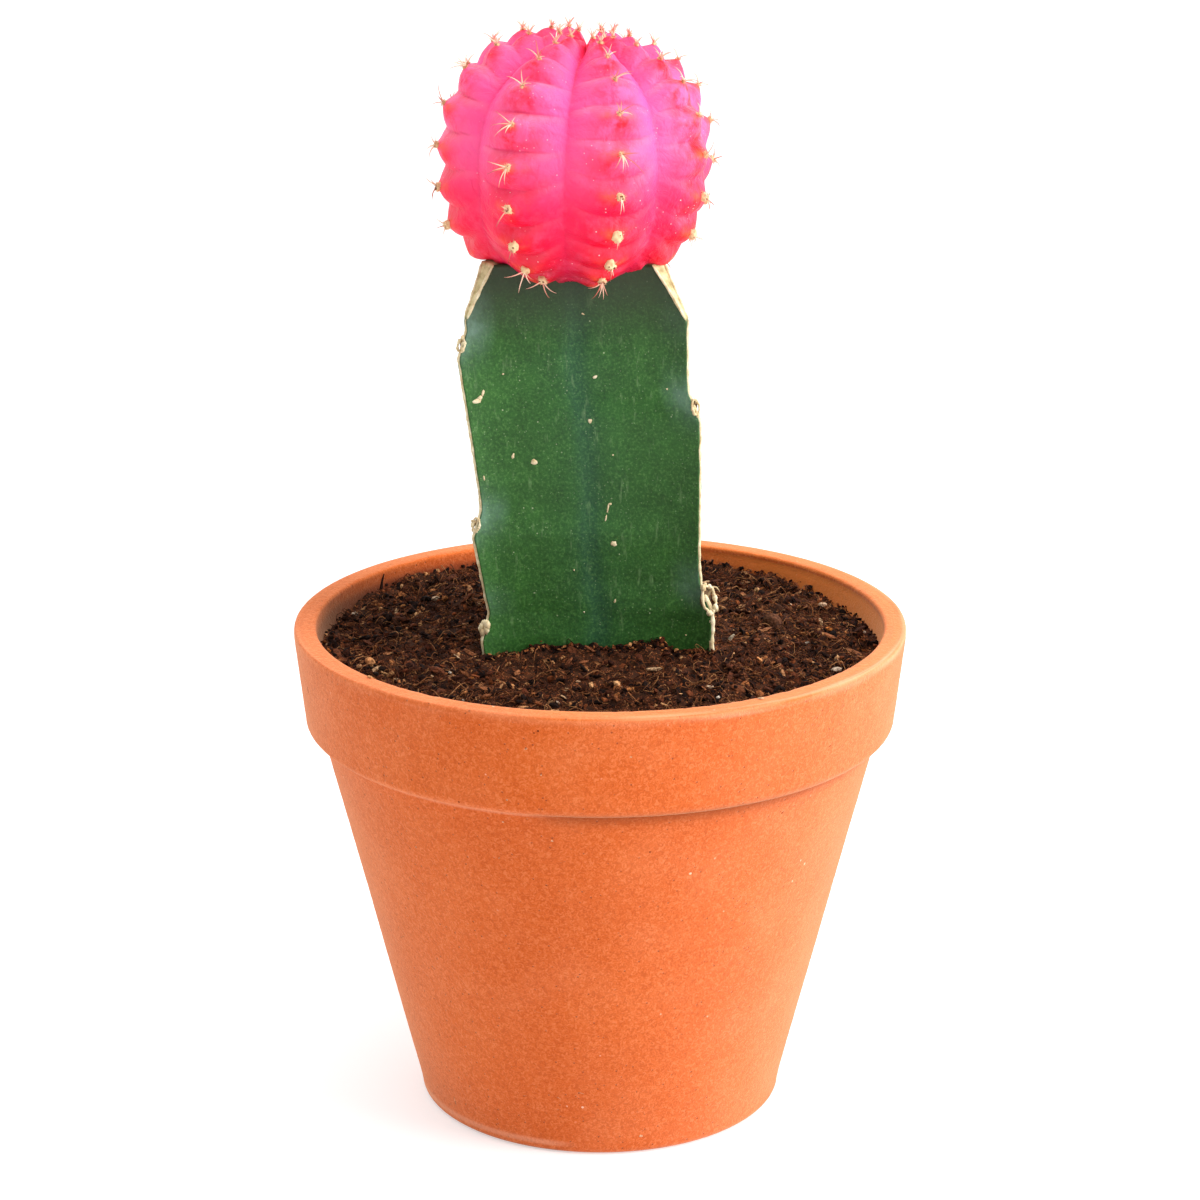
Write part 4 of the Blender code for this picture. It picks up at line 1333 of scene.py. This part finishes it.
def ball_normal(azimuth, colatitude):
    step = radians(1.0)
    down = ball_point(azimuth, colatitude + step) - ball_point(azimuth, colatitude - step)
    round_about = ball_point(azimuth + step, colatitude) - ball_point(azimuth - step, colatitude)
    return down.cross(round_about).normalized()


def ball_tones(azimuth, colatitude):
    """Shares of the skin's tones: down, flank, painted highlight, red with painted shade, ember and painted
    crease shade.
    """
    across, phase = ball_ribbing(azimuth, colatitude)
    cycle = phase % 1.0
    from_areole = (cycle + 0.5) % 1.0 - 0.5
    upper = 1 - smooth_step(0.9, 1.9, colatitude)
    crown = 1 - smooth_step(0.5, 1.1, colatitude)
    shelf = smooth_step(0.60, 0.66, cycle) * (1 - smooth_step(0.72, 1.0, cycle))
    notch = bell(cycle, 0.5 + TUBERCLE_PEAK, 0.028) * smooth_step(0.15, 0.7, across)
    crest = bell(acos(min(1.0, across)) / pi, 0.0, 1.5 * CREST_WIDTH)
    right = smooth_step(0.5, 0.95, cos(azimuth)) * smooth_step(0.5, 0.9, colatitude)
    return (
        colatitude / pi,
        # Magenta on the furrows' sides, less on the right side, which is painted darker.
        (1 - across) * (0.15 + 0.75 * upper) * (1 - 0.7 * right),
        # Painted highlight on the shelves above the notches and along the crests.
        0.55 * shelf * across**0.7 * smooth_step(0.4, 1.0, colatitude) * (0.4 + 0.6 * upper) + 0.08 * crest,
        # Red crests, with painted shade under each areole and on the right side.
        min(1.0, 0.54 * across**2.5 + 0.56 * bell(cycle, 0.26, 0.22) * across**6 + 0.6 * right * across**1.2),
        0.75 * bell(from_areole, 0.0, 0.12) * across**9 * smooth_step(0.6, 1.2, colatitude),
        # Painted shade in the notches between tubercles and down the furrows, most at the crown.
        0.55 * notch * (0.6 + 0.4 * upper) + (0.25 + 0.6 * crown) * (1 - across) ** 12,
    )


def ball_spot(colatitude, azimuth):
    return ball_point(azimuth, colatitude), ball_tones(azimuth, colatitude)


def build_ball_body():
    rows = round(SCION_LAST_RING / BALL_ROW)
    colatitudes = [SCION_LAST_RING * i / rows for i in range(1, rows + 1)]
    turns = []
    for rib in range(RIB_COUNT):
        for j in range(BALL_RIB_COLUMNS):
            t = j / BALL_RIB_COLUMNS
            turns.append(rib + t - BALL_CROWDING * sin(4 * pi * t) / (4 * pi))
    azimuths = [FIRST_FURROW + tau * turn / RIB_COUNT for turn in turns]
    tones = ("down", "flank", "painted_light", "red_and_painted_shade", "ember", "crease")
    body = add_skin("ball_body", colatitudes, azimuths, ball_spot, tones, ball_material())
    finish_piece(body, "moon_pink", "scion")
    return surface_tree(body)


def clear_of_stem(point):
    """True where an areole lies above the stem's cut top, or well outside its faces."""
    offset = point - stem_axis(STEM_TOP_Z)
    depth = max(offset.dot(level(angle + pi)) for angle in RIB_ANGLES)
    return offset.z > 2 * PAD_RADIUS or depth > max(RIB_REACHES) / 2 + PAD_RADIUS


def ball_areoles():
    """(rib, index, azimuth, colatitude) of every areole on the ribs' crests that the graft doesn't hide."""
    places = []
    for rib, start in enumerate(AREOLE_STARTS):
        azimuth = FIRST_FURROW + (rib + 0.5) * tau / RIB_COUNT
        for i in range(int(AREOLE_PITCHES - start)):
            colatitude = colatitude_at(start + i)
            if clear_of_stem(ball_point(azimuth, colatitude)):
                places.append((rib, i, azimuth, colatitude))
    return places


def add_pad(heap, draw, place, size, hollow, shade):
    """A felted cushion, with a dark pit in its middle where hollow is 1."""
    seat = place @ stretch(size, size * 1.1, size * 0.8)
    shift = Vector((draw.uniform(0, 50), 0, 0))
    points, shades = [], []
    for p in FINE_BALL[0]:
        pit = hollow * bell(hypot(p.x, p.y), 0.0, 0.5) if p.z > 0 else 0.0
        bump = 1 + 0.45 * noise(p / 0.6 + shift)
        points.append(seat @ (Vector((p.x, p.y, p.z * (1 - 0.8 * pit))) * bump))
        shades.append(mix(shade, 1.0, smooth_step(0.45, 0.9, pit)))
    heap.add(points, FINE_BALL[1], shades)


def add_pad_bits(heap, draw, place, size, colatitude):
    """Dark reddish dots where spines stand, and pale nubs beside the pad."""
    for _ in range(draw.randint(1, 3)):
        dot = level(draw.uniform(0, tau)) * size * draw.uniform(0.3, 0.7)
        dot.z = size * 0.62
        dot_size = size * draw.uniform(0.16, 0.28)
        add_lump(heap, draw, place @ Matrix.Translation(dot) @ Matrix.Scale(dot_size, 4), 0.1, 0.95)
    for _ in range(draw.randint(1, 3) if colatitude < 1.4 else draw.randint(0, 1)):
        side = level(draw.uniform(0, tau)) * size * draw.uniform(0.9, 1.3)
        nub = draw.uniform(*NUB_SIZE)
        spot = place @ Matrix.Translation(side) @ Matrix.Scale(nub, 4)
        add_bumpy_ball(heap, spot, 0.2, 0.8, draw.uniform(0, 50), draw.choice((0.0, 0.25, 0.45)))


def add_wool(heap, draw, place, size):
    turned = place.to_3x3()
    for _ in range(WOOL_COUNT):
        angle = draw.uniform(0, tau)
        spread = draw.uniform(0.5, 1.6)
        out = level(angle) * sin(spread) + UP * cos(spread)
        root = place @ (Vector((out.x, out.y, out.z * 0.75)) * size * 0.85)
        lean = (turned @ (out + Vector([draw.uniform(-0.5, 0.5) for _ in range(3)]))).normalized()
        bend = (turned @ Vector([draw.uniform(-1, 1) for _ in range(3)])).normalized()
        length = draw.uniform(*WOOL_LENGTH)
        path = [root + lean * length * t + bend * length * 0.4 * t * t for t in (0.0, 0.35, 0.7, 1.0)]
        radii = [WOOL_RADIUS * share for share in (1.0, 1.0, 0.7, 0.3)]
        add_tube(heap, path, radii, 3, draw.uniform(0, 0.35))


def add_spine(heap, draw, root, normal, reach, tones=(0.0, 0.1, 0.2, 0.3, 0.45, 0.6)):
    """A spine that bows out on its way to a tip at reach from its root, left out if it rises too high."""
    length = reach.length
    tip = root + reach + normal * (0.18 * length - min(0.0, reach.dot(normal)))
    control = (root + tip) / 2 + normal * length * SPINE_BOW
    shares = evenly(0, 1, SPINE_STEPS)
    path = [root * (1 - t) ** 2 + control * 2 * t * (1 - t) + tip * t * t for t in shares]
    if max(p.z for p in path) > CROWN_TOP_Z:
        return
    radius = draw.uniform(*SPINE_RADIUS)
    tone = draw.choice(tones)
    shades = [min(1.0, tone + 0.3 * t * t) for t in shares for _ in range(5)]
    add_tube(heap, path, [radius * mix(1.0, 0.16, t**1.3) for t in shares], 5, shades)


def add_spines(heap, draw, place, colatitude, spray):
    """The spines of one areole: those that the photograph shows, or else a random tuft."""
    turned = place.to_3x3()
    normal = turned @ UP
    root = place.translation + normal * SPINE_LIFT
    for right, up in spray:
        add_spine(heap, draw, root, normal, Vector((right, 0, up)) * MM)
    if spray:
        return
    count = draw.randint(*SPINE_COUNT) + (3 if colatitude < 0.8 else 0)
    tones = (0.0, 0.05, 0.15, 0.3) if colatitude < 1.2 else (0.1, 0.3, 0.5)
    turn = draw.uniform(0, tau)
    for _ in range(count):
        turn += tau / count + draw.uniform(-0.5, 0.5)
        length = draw.uniform(*SPINE_LENGTH) * mix(0.6, 1.0, smooth_step(0.4, 1.0, colatitude))
        out = level(turn) + UP * mix(1.2, 0.25, smooth_step(0.3, 1.0, colatitude))
        fall = UP * -1.1 * smooth_step(1.6, 2.3, colatitude)
        reach = ((turned @ out) + fall).normalized() * length
        add_spine(heap, draw, root, normal, reach, tones)


def build_ball_areoles(tree):
    pads, wool, spines = Heap(), Heap(), Heap()
    draw = random.Random(53)
    places = []
    for rib, index, azimuth, colatitude in ball_areoles():
        place = aimed(ball_point(azimuth, colatitude), ball_normal(azimuth, colatitude))
        hollow = 1.0 if colatitude > 1.1 and index % 3 == 0 else 0.0
        places.append((place, colatitude, hollow, SPRAYS.get((rib, index), ())))
    places.append((aimed(*sight(*LOW_AREOLE, tree)[:2]), LOW_COLATITUDE, 0.0, LOW_SPRAY))
    for place, colatitude, hollow, spray in places:
        size = mix(*PAD_SIZE, smooth_step(0.9, 2.1, colatitude)) * draw.uniform(0.85, 1.1)
        add_pad(pads, draw, place, size, hollow, 0.4 * smooth_step(1.9, 1.0, colatitude))
        add_pad_bits(pads, draw, place, size, colatitude)
        add_wool(wool, draw, place, size)
        add_spines(spines, draw, place, colatitude, spray)
    felt = wool_material()
    pads.build("ball_areoles", felt, "moon_pink", "scion")
    wool.build("ball_wool", felt, "moon_pink", "scion")
    spines.build("ball_spines", spine_material(), "moon_pink", "scion")


# Stage.

def build_camera():
    data = bpy.data.cameras.new("camera")
    data.sensor_width = SENSOR_MM
    data.lens = FOCAL_PIXELS / PICTURE * SENSOR_MM
    camera = add_object("camera", data)
    camera.location = CAMERA_PLACE
    camera.rotation_euler = (CAMERA_TILT, 0, 0)
    bpy.context.scene.camera = camera


def build_floor():
    look = Recipe("floor_white", 0.9)
    look.base = (FLOOR_GREY, FLOOR_GREY, FLOOR_GREY, 1.0)
    look.inputs["Emission Color"].default_value = WHITE
    look.inputs["Emission Strength"].default_value = FLOOR_GLOW
    corners = [(x * FLOOR_HALF, y * FLOOR_HALF, 0) for x, y in ((-1, -1), (1, -1), (1, 1), (-1, 1))]
    floor = add_mesh("floor", corners, [(0, 1, 2, 3)], {}, look.finish(), smooth=False)


def add_light(name, place, size, energy):
    data = bpy.data.lights.new(name, "AREA")
    data.shape = "DISK"
    data.size = size
    data.energy = energy
    lamp = add_object(name, data)
    lamp.location = place
    lamp.rotation_euler = (LAMP_TARGET - place).to_track_quat("-Z", "Y").to_euler()


def build_world():
    """A white surround that shines less from in front of the object, as a tent with an open front does."""
    world = bpy.data.worlds.new("studio")
    bpy.context.scene.world = world
    world.use_nodes = True
    tree = world.node_tree
    behind = add_node(tree, "SeparateXYZ", "Y", {0: add_node(tree, "TexCoord", "Generated")})
    limits = {"From Min": -1.0, "To Min": TENT_FRONT, "To Max": TENT_BACK}
    shine = add_node(tree, "MapRange", "Result", {"Value": behind, **limits})
    tent = add_node(tree, "Background", 0, {"Color": WHITE, "Strength": shine})
    seen = add_node(tree, "Background", 0, {"Color": WHITE})
    direct = add_node(tree, "LightPath", "Is Camera Ray")
    chosen = add_node(tree, "MixShader", 0, {0: direct, 1: tent, 2: seen})
    feed(tree, tree.nodes["World Output"].inputs["Surface"], chosen)


def build_light():
    build_world()
    for lamp in LAMPS:
        add_light(*lamp)
    bpy.context.scene.view_settings.view_transform = "Standard"


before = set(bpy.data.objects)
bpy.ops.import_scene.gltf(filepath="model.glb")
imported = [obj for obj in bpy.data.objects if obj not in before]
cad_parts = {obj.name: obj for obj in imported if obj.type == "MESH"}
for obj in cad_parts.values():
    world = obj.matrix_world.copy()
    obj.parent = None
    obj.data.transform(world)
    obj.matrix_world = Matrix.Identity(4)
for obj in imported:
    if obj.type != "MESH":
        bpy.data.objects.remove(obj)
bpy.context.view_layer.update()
build_camera()
build_floor()
build_light()
pot_wall = build_pot()
build_stem()
build_soil(pot_wall)
ball = build_ball_body()
build_ball_areoles(ball)
